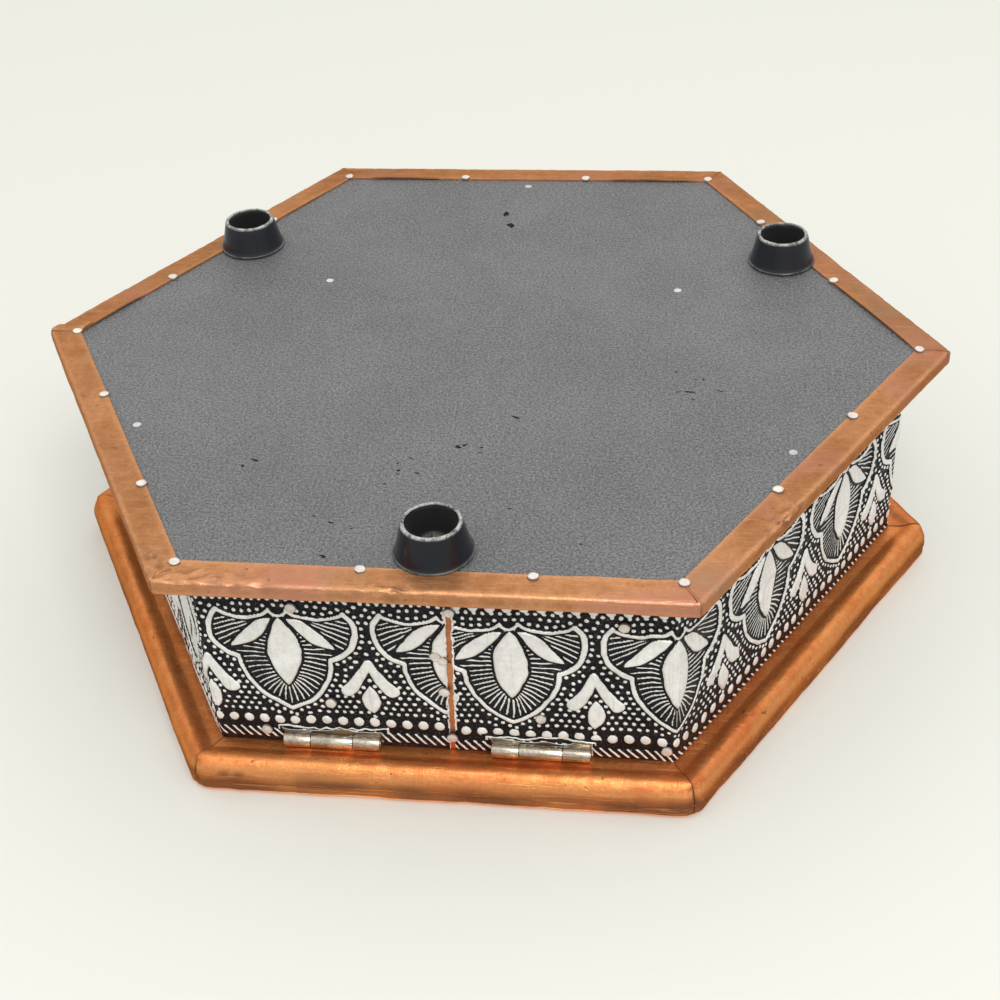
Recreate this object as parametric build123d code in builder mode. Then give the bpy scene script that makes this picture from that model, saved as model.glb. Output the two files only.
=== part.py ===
from build123d import *
import os
from math import cos, radians, sin, tan

os.makedirs("parts", exist_ok=True)

# A six-sided trinket box standing on three feet, with a hinged lid.
# Millimetres. Z is up, the feet stand on Z = 0, the Z axis runs through the middle of the box,
# and the hinges are on the +Y side. Distances called "out" are measured square to a side, from the
# middle axis, and "along" is measured along a side from its middle.

# Overall sizes
base_across_corners = 200.0
lid_extra_across = 0.6
foot_height = 7.0
rim_height = 3.5
band_height = 43.4
lid_height = 7.0
wall_setback = 7.6

# Sheet and board thicknesses
copper = 0.4
embossed_sheet = 0.5
wall_thickness = 6.0
lining = 0.8
floor_lining_thickness = 1.0
lid_pad_thickness = 2.2
lid_pad_round = 0.9
lid_panel_thickness = 0.4

# Clearances
closing_gap = 0.3
mitre_gap = 0.15
sheet_fit = 0.05
lining_fit = 0.2
lid_pad_gap = 0.7
shank_fit = 0.05
hole_end = 0.2
cut_clear = 1.0

# Copper edge strips of the base
strip_width = 6.4
strip_bend = 0.8

# Copper moulding round the lid
channel_width = 3.2
bead_drop = 0.85
bead_rise = 1.0
lid_edge_round = 1.8
lid_border = 12.0
lid_flange_inset = 1.5
lid_core_inset = 1.0

# Feet
foot_base_radius = 7.3
foot_tip_radius = 5.65
foot_mouth_radius = 4.6
foot_bore_radius = 3.6
foot_floor = 1.6
foot_flange_radius = 7.7
foot_flange = 0.4
foot_rim_round = 0.35
screw_radius = 1.3
screw_head_radius = 2.8
screw_head = 1.5
screw_head_bevel = 0.6
screw_length = 15.0

# Hinges
hinge_centres = {"left": -22.3, "right": 19.5}
hinge_length = 19.4
middle_knuckle = 8.4
knuckle_gap = 0.15
knuckle_radius = 1.55
pin_radius = 0.7
pin_fit = 0.05
pin_overhang = 0.1
leaf = 0.6
leaf_drop = 8.0
knuckle_set = 0.2
hinge_clearance = 0.3
lid_leaf_inset = 0.9
hinge_nail_along = 6.2
hinge_nail_drop = 5.0
hinge_nail_bevel = 45
hinge_nail_shank = 0.8
hinge_nail_sink = 0.4
hinge_nail_head = 1.0
hinge_nail_length = 4.6

# Tacks and nails
tack_head_radius = 1.1
tack_head = 0.45
tack_bevel = 50
tack_shank = 0.6
tack_length = 2.4
head_sides = 8
tack_inset = 0.7
lid_tack_spread = 16.4
nail_head_radius = 0.9
nail_head = 0.4
nail_shank = 1.0
nail_length = 14.0
nail_inset = 1.5
short_nail_out = 48.0
short_nail_length = 2.0

# Seam of the embossed band, on the rear wall, which leans a little from the rim to the lid
seam_at_rim = -3.6
seam_at_lid = -1.7
seam_gap = 1.1
seam_strip_width = 3.6
seam_strip_thickness = 0.3

# Fasteners set by hand: where each sits along its side
base_tack_spots = {
    "rear": (-19.8, 11.8),
    "rear_left": (-19.2, 17.0),
    "front_left": (-17.0, 17.7),
    "front": (-15.8, 15.5),
    "front_right": (-19.9, 12.8),
    "rear_right": (-16.6, 13.4),
}
nail_spots = {"rear_left": 2.8, "front": 1.1, "rear_right": 0.5}
short_nail_spots = {"front_left": 2.5, "front_right": -0.4}
# Feet: along the side, then out from the middle of the wall above
foot_spots = {"rear": (-0.8, -1.1), "front_left": (5.5, 0.5), "front_right": (-1.3, 0.1)}

# Levels
base_face = foot_height
rim_top = base_face + rim_height
board_bottom = base_face + copper
board_top = rim_top - copper
wall_top = rim_top + band_height
lid_under = wall_top + closing_gap
lid_top = lid_under + lid_height

# Distances out from the middle axis to the flat of each side
rim_out = base_across_corners / 2 * cos(radians(30))
lid_out = (base_across_corners + lid_extra_across) / 2 * cos(radians(30))
band_out = rim_out - wall_setback
wood_out = band_out - embossed_sheet
wall_back = wood_out - wall_thickness
wall_middle = (wood_out + wall_back) / 2
wall_half = band_out * tan(radians(30))

sides = {
    "rear": 90,
    "rear_left": 150,
    "front_left": 210,
    "front": 270,
    "front_right": 330,
    "rear_right": 30,
}


def section_plane(angle):
    """Cuts across a side: local X runs outwards and local Y runs up."""
    turn = radians(angle)
    return Plane((0, 0, 0), x_dir=(cos(turn), sin(turn), 0), z_dir=(sin(turn), -cos(turn), 0))


def wall_plane(angle, out):
    """Lies on the flat of a side: local X runs along it, local Y runs up, and Z points outwards."""
    turn = radians(angle)
    outward = (cos(turn), sin(turn), 0)
    return Plane((out * outward[0], out * outward[1], 0), x_dir=(-sin(turn), cos(turn), 0), z_dir=outward)


def mitre_planes(angle, gap):
    """The two upright planes through the corners that end a side, each half a gap inside its corner."""
    planes = []
    for turn in (radians(angle + 30), radians(angle - 30)):
        sign = 1 if turn > radians(angle) else -1
        normal = Vector(-sin(turn) * sign, cos(turn) * sign, 0)
        planes.append(Plane(origin=normal * (-gap / 2), z_dir=normal))
    return planes


def hexagon(out):
    """A hexagon with a corner on +X, sized by the distance out to its flats."""
    return RegularPolygon(radius=out, side_count=6, major_radius=False, rotation=0)


def on_underside(out, along, angle, level):
    """A place on a face that looks down, with local Z pointing down."""
    turn = radians(angle)
    x = out * cos(turn) - along * sin(turn)
    y = out * sin(turn) + along * cos(turn)
    return Plane((x, y, level), x_dir=(1, 0, 0), z_dir=(0, 0, -1)).location


def on_top(out, along, angle, level):
    """A place on a face that looks up, with local Z pointing up."""
    turn = radians(angle)
    x = out * cos(turn) - along * sin(turn)
    y = out * sin(turn) + along * cos(turn)
    return Location((x, y, level))


def on_wall(angle, out, along, level):
    """A place on the flat of a side, with local Z pointing outwards."""
    plane = wall_plane(angle, out)
    return Plane(
        plane.from_local_coords((along, level, 0)), x_dir=plane.x_dir, z_dir=plane.z_dir
    ).location


def save(piece, name):
    piece.part.label = name
    export_step(piece.part, f"parts/{name}.step")


# Fastener patterns, each a list of places

base_tack_out = rim_out - strip_width + tack_inset
base_tack_places = []
for side, angle in sides.items():
    for along in base_tack_spots[side]:
        base_tack_places.append(on_underside(base_tack_out, along, angle, base_face))
    corner = base_tack_out / cos(radians(30))
    base_tack_places.append(on_underside(corner, 0, angle + 30, base_face))

lid_tack_out = lid_out - lid_border + tack_inset
lid_tack_places = []
for angle in sides.values():
    for along in (-lid_tack_spread, lid_tack_spread):
        lid_tack_places.append(on_top(lid_tack_out, along, angle, lid_top))
    corner = lid_tack_out / cos(radians(30))
    lid_tack_places.append(on_top(corner, 0, angle + 30, lid_top))


def seam_along(level):
    """Where the middle of the seam is at a level."""
    return seam_at_rim + (seam_at_lid - seam_at_rim) * (level - rim_top) / band_height


# On the rear wall the tacks follow the seam and the places where the sheet lifted: along, then level.
rear_wall_tacks = [
    (seam_along(rim_top + 7.4) - 0.2, rim_top + 7.4),
    (seam_along(rim_top + 20.2) + 0.2, rim_top + 20.2),
    (seam_along(rim_top + 18.7) + 2.5, rim_top + 18.7),
    (seam_along(rim_top + 27.6) + 1.2, rim_top + 27.6),
    (seam_along(wall_top - 3.6) - 0.1, wall_top - 3.6),
    (wall_half - 24.0, wall_top - 11.4),
    (wall_half - 10.0, wall_top - 3.3),
    (wall_half - 18.9, rim_top + 7.9),
    (25.9 - wall_half, wall_top - 10.0),
    (9.7 - wall_half, rim_top + 9.2),
    (1.6 - wall_half, wall_top - 3.1),
]
# The other walls are tacked close above the rim, where the rim hides the heads from below.
plain_tack_reach = wall_half - 7.6
plain_wall_tacks = [(plain_tack_reach * share, rim_top + 2.5) for share in (-1, -1 / 3, 1 / 3, 1)]
wall_tack_places = []
for side, angle in sides.items():
    for along, level in rear_wall_tacks if side == "rear" else plain_wall_tacks:
        wall_tack_places.append(on_wall(angle, band_out, along, level))

nail_level = board_bottom + nail_head
nail_places = [
    on_underside(wood_out - nail_inset, along, sides[side], nail_level) for side, along in nail_spots.items()
]
short_nail_places = [
    on_underside(short_nail_out, along, sides[side], nail_level) for side, along in short_nail_spots.items()
]
foot_places = {
    side: on_underside(wall_middle + beyond, along, sides[side], base_face)
    for side, (along, beyond) in foot_spots.items()
}

# Hinge axis: the knuckles lie in the corner between the rear wall and the lid

hinge_out = wood_out - leaf + knuckle_set + knuckle_radius
hinge_level = lid_under - knuckle_set - knuckle_radius
leaf_top = hinge_level
leaf_bottom = hinge_level - leaf_drop
lid_leaf_inner = wall_back + lid_leaf_inset
lid_leaf_outer = hinge_out - knuckle_radius
box_nail_level = hinge_level - hinge_nail_drop
lid_nail_out = (lid_leaf_inner + lid_leaf_outer) / 2
rebate_floor_level = lid_under - leaf - hinge_clearance
notch_bottom = hinge_level - knuckle_radius - hinge_clearance

hinge_box_nail_places = []
hinge_lid_nail_places = []
for centre in hinge_centres.values():
    for along in (-hinge_nail_along, hinge_nail_along):
        hinge_box_nail_places.append(on_wall(sides["rear"], wood_out, -centre + along, box_nail_level))
        hinge_lid_nail_places.append(
            on_underside(lid_nail_out, -centre - along, sides["rear"], lid_under - leaf)
        )


def nail_shape(head_radius, shank, length, above=0.0, below=0.0, bevel=0):
    """A square shank under a many-sided head, which rises above local Z = 0 or is sunk below it."""
    with BuildPart() as made:
        with BuildSketch() as head:
            RegularPolygon(radius=head_radius, side_count=head_sides)
        extrude(head.sketch, amount=above if above else -below, taper=bevel)
        with BuildSketch() as section:
            Rectangle(shank, shank)
        extrude(section.sketch, amount=-length)
    return made.part


def cut_round(places, radius, above, below):
    """Cuts a round hole at each place, from a little above its face to a depth below it."""
    with Locations(*places):
        with Locations((0, 0, (above - below) / 2)):
            Cylinder(radius=radius, height=above + below, mode=Mode.SUBTRACT)


def cut_square(places, shank, above, below):
    """Cuts the hole of a square shank at each place."""
    width = shank + 2 * shank_fit
    with Locations(*places):
        with Locations((0, 0, (above - below) / 2)):
            Box(width, width, above + below, mode=Mode.SUBTRACT)


def seam_face(width, low, high):
    """A face as wide as given along the leaning seam, cut off level at both ends."""
    half = width / 2
    return Polygon(
        (seam_along(low) - half, low),
        (seam_along(low) + half, low),
        (seam_along(high) + half, high),
        (seam_along(high) - half, high),
        align=None,
    )


def cut_shape(places, shape):
    with Locations(*places):
        add(shape, mode=Mode.SUBTRACT)


tack = nail_shape(tack_head_radius, tack_shank, tack_length, above=tack_head, bevel=tack_bevel)
board_nail = nail_shape(nail_head_radius, nail_shank, nail_length, above=nail_head)
short_nail = nail_shape(nail_head_radius, nail_shank, short_nail_length, above=nail_head)
nail_recess = nail_shape(nail_head_radius + shank_fit, nail_shank, shank_fit, above=cut_clear)
hinge_nail = nail_shape(
    hinge_nail_head, hinge_nail_shank, hinge_nail_length, below=hinge_nail_sink, bevel=hinge_nail_bevel
)
hinge_nail_hole = nail_shape(
    hinge_nail_head + shank_fit,
    hinge_nail_shank + 2 * shank_fit,
    hinge_nail_length,
    below=hinge_nail_sink,
    bevel=hinge_nail_bevel,
)

# Base board

board_out = rim_out - copper - sheet_fit
with BuildPart() as base_board:
    with BuildSketch(Plane.XY.offset(board_bottom)):
        hexagon(board_out)
    extrude(amount=board_top - board_bottom)
    chamfer(base_board.edges().filter_by(Plane.XY), length=strip_bend - copper)
    cut_square(base_tack_places, tack_shank, cut_clear, tack_length)
    cut_square(nail_places, nail_shank, 0, nail_length)
    cut_square(short_nail_places, nail_shank, 0, short_nail_length + hole_end)
    cut_shape(nail_places + short_nail_places, nail_recess)
    cut_round(foot_places.values(), screw_radius + shank_fit, cut_clear, screw_length)
save(base_board, "base_board")

# Folded copper strips round the edge of the base board, mitred at the corners

for side, angle in sides.items():
    with BuildPart() as base_strip:
        with BuildSketch(section_plane(angle)):
            with BuildLine():
                FilletPolyline(
                    (rim_out - strip_width, base_face),
                    (rim_out, base_face),
                    (rim_out, rim_top),
                    (band_out + sheet_fit, rim_top),
                    radius=strip_bend,
                )
                offset(amount=copper, side=Side.LEFT)
            make_face()
        extrude(amount=rim_out, both=True)
        for plane in mitre_planes(angle, mitre_gap):
            split(bisect_by=plane, keep=Keep.BOTTOM)
        cut_square(base_tack_places, tack_shank, cut_clear, copper + hole_end)
    save(base_strip, f"base_strip_{side}")

# Wooden walls, mitred at the corners, with rebates in the rear one for the hinge leaves and the seam strip

for side, angle in sides.items():
    with BuildPart() as wall:
        with BuildSketch(section_plane(angle)):
            with Locations((wall_middle, (board_top + wall_top) / 2)):
                Rectangle(wall_thickness, wall_top - board_top)
        extrude(amount=wood_out, both=True)
        for plane in mitre_planes(angle, sheet_fit):
            split(bisect_by=plane, keep=Keep.BOTTOM)
        if side in foot_spots:
            cut_round(foot_places.values(), screw_radius + shank_fit, cut_clear, screw_length)
        else:
            cut_square(nail_places, nail_shank, cut_clear, nail_length + hole_end)
        cut_square(wall_tack_places, tack_shank, cut_clear, tack_length + hole_end)
        if side == "rear":
            for centre in hinge_centres.values():
                with BuildSketch(wall_plane(angle, wood_out)):
                    with Locations((-centre, (leaf_bottom + wall_top) / 2)):
                        Rectangle(hinge_length + 2 * sheet_fit, wall_top - leaf_bottom)
                extrude(amount=-leaf, mode=Mode.SUBTRACT)
                with BuildSketch(Plane.XY.offset(wall_top)):
                    with Locations((centre, wall_middle)):
                        Rectangle(hinge_length + 2 * hinge_clearance, wall_thickness)
                extrude(amount=rebate_floor_level - wall_top, mode=Mode.SUBTRACT)
            with BuildSketch(wall_plane(angle, wood_out)):
                seam_face(seam_strip_width, board_top, wall_top)
            extrude(amount=-seam_strip_thickness, mode=Mode.SUBTRACT)
            cut_square(hinge_box_nail_places, hinge_nail_shank, 0, hinge_nail_length + hole_end)
    save(wall, f"wall_{side}")

# Embossed sheet wrapped round the walls in one strip, its ends meeting over the seam strip

with BuildPart() as embossed_band:
    with BuildSketch(Plane.XY.offset(rim_top + sheet_fit)):
        hexagon(band_out)
        offset(amount=-embossed_sheet, mode=Mode.SUBTRACT)
    extrude(amount=wall_top - rim_top - sheet_fit)
    with BuildSketch(wall_plane(sides["rear"], wood_out)):
        seam_face(seam_gap, rim_top, wall_top)
        for centre in hinge_centres.values():
            with Locations((-centre, (notch_bottom + wall_top) / 2)):
                Rectangle(hinge_length + 2 * hinge_clearance, wall_top - notch_bottom)
    extrude(amount=embossed_sheet, mode=Mode.SUBTRACT)
    cut_square(wall_tack_places, tack_shank, cut_clear, embossed_sheet)
save(embossed_band, "embossed_band")

with BuildPart() as seam_strip:
    with BuildSketch(wall_plane(sides["rear"], wood_out)):
        seam_face(seam_strip_width, rim_top + sheet_fit, wall_top)
    extrude(amount=-seam_strip_thickness)
    cut_square(wall_tack_places, tack_shank, cut_clear, tack_length)
save(seam_strip, "seam_strip")

# Velvet linings: thin card covered with velvet

with BuildPart() as floor_lining:
    with BuildSketch(Plane.XY.offset(board_top)):
        hexagon(wall_back - lining_fit)
    extrude(amount=floor_lining_thickness)
save(floor_lining, "floor_lining")

with BuildPart() as wall_lining:
    with BuildSketch(Plane.XY.offset(board_top + floor_lining_thickness)):
        hexagon(wall_back)
        offset(amount=-lining, mode=Mode.SUBTRACT)
    extrude(amount=wall_top - closing_gap - board_top - floor_lining_thickness)
save(wall_lining, "wall_lining")

with BuildPart() as lid_pad:
    with BuildSketch(Plane.XY.offset(lid_under + copper + sheet_fit)):
        hexagon(wall_back - lining - lid_pad_gap)
    extrude(amount=-lid_pad_thickness)
    fillet(lid_pad.faces().sort_by(Axis.Z)[0].edges(), radius=lid_pad_round)
save(lid_pad, "lid_pad")

# Lid: a wooden board whose edge is shaped under the copper moulding

bead_start = band_out + channel_width
bead_outer_level = lid_under + bead_rise


def lid_edge_outline():
    """The copper's outer face, from its inner end over the wall, round the bead and side, to the top."""
    bead_end = (lid_out, lid_under + bead_rise)
    bead_middle = ((bead_start + lid_out) / 2, lid_under - bead_drop)
    round_start = (lid_out, lid_top - lid_edge_round)
    Line((wall_back + lid_flange_inset, lid_under), (bead_start, lid_under))
    ThreePointArc((bead_start, lid_under), bead_middle, bead_end)
    Line(bead_end, round_start)
    CenterArc((lid_out - lid_edge_round, lid_top - lid_edge_round), lid_edge_round, 0, 90)
    Line((lid_out - lid_edge_round, lid_top), (lid_out - lid_border, lid_top))


def on_front_corners(out, level):
    """Starts and ends at the middle of the front side, and goes once round the six corners."""
    corner = out / cos(radians(30))
    turns = [radians(300 + 60 * step) for step in range(6)]
    middle = (0, -out, level)
    return [middle] + [(corner * cos(turn), corner * sin(turn), level) for turn in turns] + [middle]


board_inset = copper + sheet_fit
with BuildPart() as lid_board:
    with BuildLine():
        Polyline(*on_front_corners(bead_start, lid_under))
    with BuildSketch(section_plane(sides["front"])):
        with BuildLine():
            lid_edge_outline()
            Polyline(
                (lid_out - lid_border, lid_top),
                (wall_back, lid_top),
                (wall_back, lid_under),
                (wall_back + lid_flange_inset, lid_under),
            )
        make_face()
        offset(amount=-board_inset)
    sweep(transition=Transition.RIGHT)
    with BuildSketch(Plane.XY.offset(lid_under + board_inset)):
        hexagon(bead_start - lid_core_inset)
    extrude(amount=lid_height - 2 * board_inset)
    cut_square(lid_tack_places, tack_shank, cut_clear, tack_length + hole_end)
    cut_square(hinge_lid_nail_places, hinge_nail_shank, 0, hinge_nail_length + hole_end)
save(lid_board, "lid_board")

for side, angle in sides.items():
    with BuildPart() as lid_edge:
        with BuildSketch(section_plane(angle)):
            with BuildLine():
                lid_edge_outline()
                offset(amount=copper, side=Side.LEFT)
            make_face()
        extrude(amount=lid_out, both=True)
        for plane in mitre_planes(angle, mitre_gap):
            split(bisect_by=plane, keep=Keep.BOTTOM)
        cut_square(lid_tack_places, tack_shank, cut_clear, copper + hole_end)
        if side == "rear":
            cut_square(hinge_lid_nail_places, hinge_nail_shank, 0, leaf + copper + hole_end)
    save(lid_edge, f"lid_edge_{side}")

with BuildPart() as lid_panel:
    with BuildSketch(Plane.XY.offset(lid_top - board_inset)):
        hexagon(lid_out - lid_border - lining_fit)
    extrude(amount=lid_panel_thickness)
save(lid_panel, "lid_panel")

# Hinges: three knuckles on one pin, the outer two on the box's leaf and the middle one on the lid's


def across(centre):
    """Cuts across a hinge at its middle: local X is the box's Y and local Y is up."""
    return Plane((centre, 0, 0), x_dir=(0, 1, 0), z_dir=(1, 0, 0))


for hand, centre in hinge_centres.items():
    with BuildPart() as box_leaf:
        with BuildSketch(across(centre)):
            with Locations((wood_out - leaf / 2, (leaf_bottom + leaf_top) / 2)):
                Rectangle(leaf, leaf_top - leaf_bottom)
            with Locations((hinge_out, hinge_level)):
                Circle(knuckle_radius)
        extrude(amount=hinge_length / 2, both=True)
        with Locations((centre, hinge_out, (notch_bottom + wall_top) / 2)):
            Box(
                middle_knuckle + 2 * knuckle_gap,
                4 * knuckle_radius,
                wall_top - notch_bottom + cut_clear,
                mode=Mode.SUBTRACT,
            )
        with BuildSketch(across(centre)):
            with Locations((hinge_out, hinge_level)):
                Circle(pin_radius + pin_fit)
        extrude(amount=hinge_length, both=True, mode=Mode.SUBTRACT)
        cut_shape(hinge_box_nail_places, hinge_nail_hole)
    save(box_leaf, f"hinge_box_leaf_{hand}")

    with BuildPart() as lid_leaf:
        with BuildSketch(Plane.XY.offset(lid_under)):
            with Locations((centre, (lid_leaf_inner + lid_leaf_outer) / 2)):
                Rectangle(hinge_length, lid_leaf_outer - lid_leaf_inner)
            with Locations((centre, (lid_leaf_inner + hinge_out) / 2)):
                Rectangle(middle_knuckle, hinge_out - lid_leaf_inner)
        extrude(amount=-leaf)
        with BuildSketch(across(centre)):
            with Locations((hinge_out, hinge_level)):
                Circle(knuckle_radius)
        extrude(amount=middle_knuckle / 2, both=True)
        with BuildSketch(across(centre)):
            with Locations((hinge_out, hinge_level)):
                Circle(pin_radius + pin_fit)
        extrude(amount=hinge_length, both=True, mode=Mode.SUBTRACT)
        cut_shape(hinge_lid_nail_places, hinge_nail_hole)
    save(lid_leaf, f"hinge_lid_leaf_{hand}")

    with BuildPart() as pin:
        with BuildSketch(across(centre)):
            with Locations((hinge_out, hinge_level)):
                Circle(pin_radius)
        extrude(amount=hinge_length / 2 + pin_overhang, both=True)
    save(pin, f"hinge_pin_{hand}")

# Feet: hollow tapered cones with a thin flange, screwed through the board into the walls

with BuildPart() as foot:
    with BuildSketch(Plane.XZ):
        with BuildLine():
            Polyline(
                (screw_radius + shank_fit, 0),
                (foot_flange_radius, 0),
                (foot_flange_radius, foot_flange),
                (foot_base_radius, foot_flange),
                (foot_tip_radius, foot_height),
                (foot_mouth_radius, foot_height),
                (foot_bore_radius, foot_floor),
                (screw_radius + shank_fit, foot_floor),
                close=True,
            )
        face = make_face()
        chamfer(face.vertices().group_by(Axis.Y)[-1], length=foot_rim_round)
    revolve(axis=Axis.Z)


with BuildPart() as screw:
    with BuildSketch(Plane.XZ):
        with BuildLine():
            Polyline(
                (0, foot_floor + screw_head),
                (0, foot_floor - screw_length),
                (screw_radius, foot_floor - screw_length),
                (screw_radius, foot_floor),
                (screw_head_radius, foot_floor),
                (screw_head_radius - screw_head_bevel, foot_floor + screw_head),
                close=True,
            )
        make_face()
    revolve(axis=Axis.Z)

for side, place in foot_places.items():
    with BuildPart() as placed_foot:
        with Locations(place):
            add(foot.part)
    save(placed_foot, f"foot_{side}")

# Tacks, nails and screws, each pattern a group of separate solids


def group(one, places, name):
    with BuildPart() as made:
        with Locations(*places):
            add(one)
    save(made, name)


group(tack, base_tack_places, "base_tacks")
group(tack, wall_tack_places, "wall_tacks")
group(tack, lid_tack_places, "lid_tacks")
group(board_nail, nail_places, "board_nails")
group(short_nail, short_nail_places, "short_nails")
group(hinge_nail, hinge_box_nail_places, "hinge_box_nails")
group(hinge_nail, hinge_lid_nail_places, "hinge_lid_nails")
group(screw.part, foot_places.values(), "foot_screws")
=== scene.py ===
# %% [markdown]
# # A six-sided trinket box in embossed metal and copper
#
# The box is a small wooden box wrapped in stamped sheet metal, with copper folded round its base and a
# rolled copper moulding round its lid. This script dresses the finished construction model: it builds the
# thin, hand-worked parts that make the box look made, and gives every surface its own finish.
#
# All lengths below are written in millimetres and turned into metres when a mesh is made.

# %% Load the fixed model and read its main levels
import math

import bpy
import numpy as np
from mathutils import Matrix, Vector


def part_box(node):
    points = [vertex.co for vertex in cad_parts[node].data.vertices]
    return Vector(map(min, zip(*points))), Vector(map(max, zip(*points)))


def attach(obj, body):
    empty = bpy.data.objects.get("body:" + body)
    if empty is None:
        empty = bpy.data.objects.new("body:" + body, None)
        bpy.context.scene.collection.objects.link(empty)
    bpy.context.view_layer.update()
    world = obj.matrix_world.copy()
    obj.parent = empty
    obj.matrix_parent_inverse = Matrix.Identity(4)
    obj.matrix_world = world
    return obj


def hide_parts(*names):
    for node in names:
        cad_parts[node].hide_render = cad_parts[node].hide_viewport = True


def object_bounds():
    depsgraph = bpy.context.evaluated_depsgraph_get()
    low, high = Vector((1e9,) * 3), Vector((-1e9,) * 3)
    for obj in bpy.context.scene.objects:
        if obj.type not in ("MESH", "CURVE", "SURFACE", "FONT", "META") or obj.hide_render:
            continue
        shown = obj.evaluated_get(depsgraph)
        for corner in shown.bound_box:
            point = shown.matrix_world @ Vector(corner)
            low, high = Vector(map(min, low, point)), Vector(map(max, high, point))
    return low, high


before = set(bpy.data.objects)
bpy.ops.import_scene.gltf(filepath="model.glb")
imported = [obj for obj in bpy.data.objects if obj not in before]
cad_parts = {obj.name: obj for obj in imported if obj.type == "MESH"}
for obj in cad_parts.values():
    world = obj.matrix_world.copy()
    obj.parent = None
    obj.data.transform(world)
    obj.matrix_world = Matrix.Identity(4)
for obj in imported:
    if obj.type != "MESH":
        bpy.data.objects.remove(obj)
cad_low, cad_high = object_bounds()

MM = 0.001
SIDES = {"rear": 90, "rear_left": 150, "front_left": 210, "front": 270, "front_right": 330, "rear_right": 30}
TAN30 = math.tan(math.radians(30))
COS30 = math.cos(math.radians(30))
LID_GAP = 0.3


def box_mm(node):
    """The lowest and highest corner of a node, in millimetres."""
    low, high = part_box(node)
    return np.array(low) / MM, np.array(high) / MM


band_low, band_high = box_mm("embossed_band")
strip_low, strip_high = box_mm("base_strip_rear")
wall_low, wall_high = box_mm("wall_rear")
band_out, rim_out, wood_out, wall_back = band_high[1], strip_high[1], wall_high[1], wall_low[1]
lid_out, lid_top = box_mm("lid_edge_rear")[1][1:]
base_face, rim_top, wall_top = strip_low[2], strip_high[2], band_high[2]
lid_under = wall_top + LID_GAP
print(f"band {band_out:.2f} out, rim {rim_out:.2f} out, lid {lid_out:.2f} out, lid top at {lid_top:.2f}")

# %% [markdown]
# ## The view
#
# The photograph shows the box resting upside down on its lid, with the hinge side in front. The model stands
# on its feet, so the camera goes below it and looks up, rolled half a turn. Nothing of the box is turned over:
# from the camera, "up" in the picture is simply the way the feet point.

# %% Place the camera
LENS_MM = 58.87
SENSOR_MM = 36.0
CAMERA_AT = Vector((52.065, 305.546, -178.284)) * MM
CAMERA_YAW = -0.1647
CAMERA_PITCH = 0.6361
CAMERA_ROLL = -0.0636
CENTRE_SHIFT = -0.001


def add_object(name, data):
    thing = bpy.data.objects.new(name, data)
    bpy.context.scene.collection.objects.link(thing)
    return thing


def turned_over(x, y, z):
    """A direction given with the box upside down, as it is once the box stands on its feet."""
    return Vector((x, -y, -z))


level_reach = math.cos(CAMERA_PITCH)
ahead = turned_over(
    math.sin(CAMERA_YAW) * level_reach, math.cos(CAMERA_YAW) * level_reach, -math.sin(CAMERA_PITCH)
)
level_right = turned_over(math.cos(CAMERA_YAW), -math.sin(CAMERA_YAW), 0)
level_up = level_right.cross(ahead)
view_right = level_right * math.cos(CAMERA_ROLL) + level_up * math.sin(CAMERA_ROLL)
view_up = level_up * math.cos(CAMERA_ROLL) - level_right * math.sin(CAMERA_ROLL)

camera = add_object("camera", bpy.data.cameras.new("camera"))
camera.data.lens = LENS_MM
camera.data.sensor_width = SENSOR_MM
camera.data.shift_y = CENTRE_SHIFT
camera.data.clip_start = 0.01
camera.data.clip_end = 20
camera.matrix_world = Matrix.Translation(CAMERA_AT) @ Matrix((view_right, view_up, -ahead)).transposed().to_4x4()
bpy.context.scene.camera = camera
bpy.context.scene.view_settings.view_transform = "Standard"
print(f"the camera is {CAMERA_AT.length / MM:.0f} mm from the middle of the feet")

# %% [markdown]
# ## Helpers for shader nodes
#
# A material in Blender is a small graph of nodes. Here an output of a node is wrapped so that sums and
# products of outputs make the Math nodes, which lets a mask read like a formula, and one line can say what a
# node is, what feeds it and what is set on it.


# %% Write node graphs as formulas
class Out:
    """An output of a node in a tree."""

    def __init__(self, tree, socket):
        self.tree, self.socket = tree, socket

    def math(self, operation, other=0.0, clamp=False):
        return add(self.tree, "ShaderNodeMath", {"operation": operation, "use_clamp": clamp}, _0=self, _1=other)

    def __add__(self, other):
        return self.math("ADD", other)

    def __sub__(self, other):
        return self.math("SUBTRACT", other)

    def __mul__(self, other):
        return self.math("MULTIPLY", other)

    def or_more(self, other):
        return self.math("MAXIMUM", other)

    def between(self, low, high, to_low=0.0, to_high=1.0):
        """Maps the value from one range to another, held at both ends."""
        return add(self.tree, "ShaderNodeMapRange", _0=self, _1=low, _2=high, _3=to_low, _4=to_high)

    def mix(self, a, b):
        """A colour between two, with this value as the share of the second."""
        return add(self.tree, "ShaderNodeMix", {"data_type": "RGBA"}, output=2, _0=self, _6=a, _7=b)


def add(tree, kind, settings=None, output=0, **inputs):
    """Adds a node and gives its output. An input is given a number, a colour, or another output."""
    node = tree.nodes.new(kind)
    for name, value in (settings or {}).items():
        setattr(node, name, value)
    feed(tree, node, inputs)
    return Out(tree, node.outputs[output]) if node.outputs else node


def feed(tree, node, inputs):
    """Sets or links inputs by their names, or by their numbers written as _0, _1 and so on."""
    for name, value in inputs.items():
        socket = node.inputs[int(name[1:]) if name[0] == "_" else name.replace("_", " ")]
        if isinstance(value, Out):
            tree.links.new(value.socket, socket)
        else:
            socket.default_value = (*value, 1.0) if socket.type == "RGBA" else value


print("helpers: sums, products, ranges and mixes of node outputs")


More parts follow.
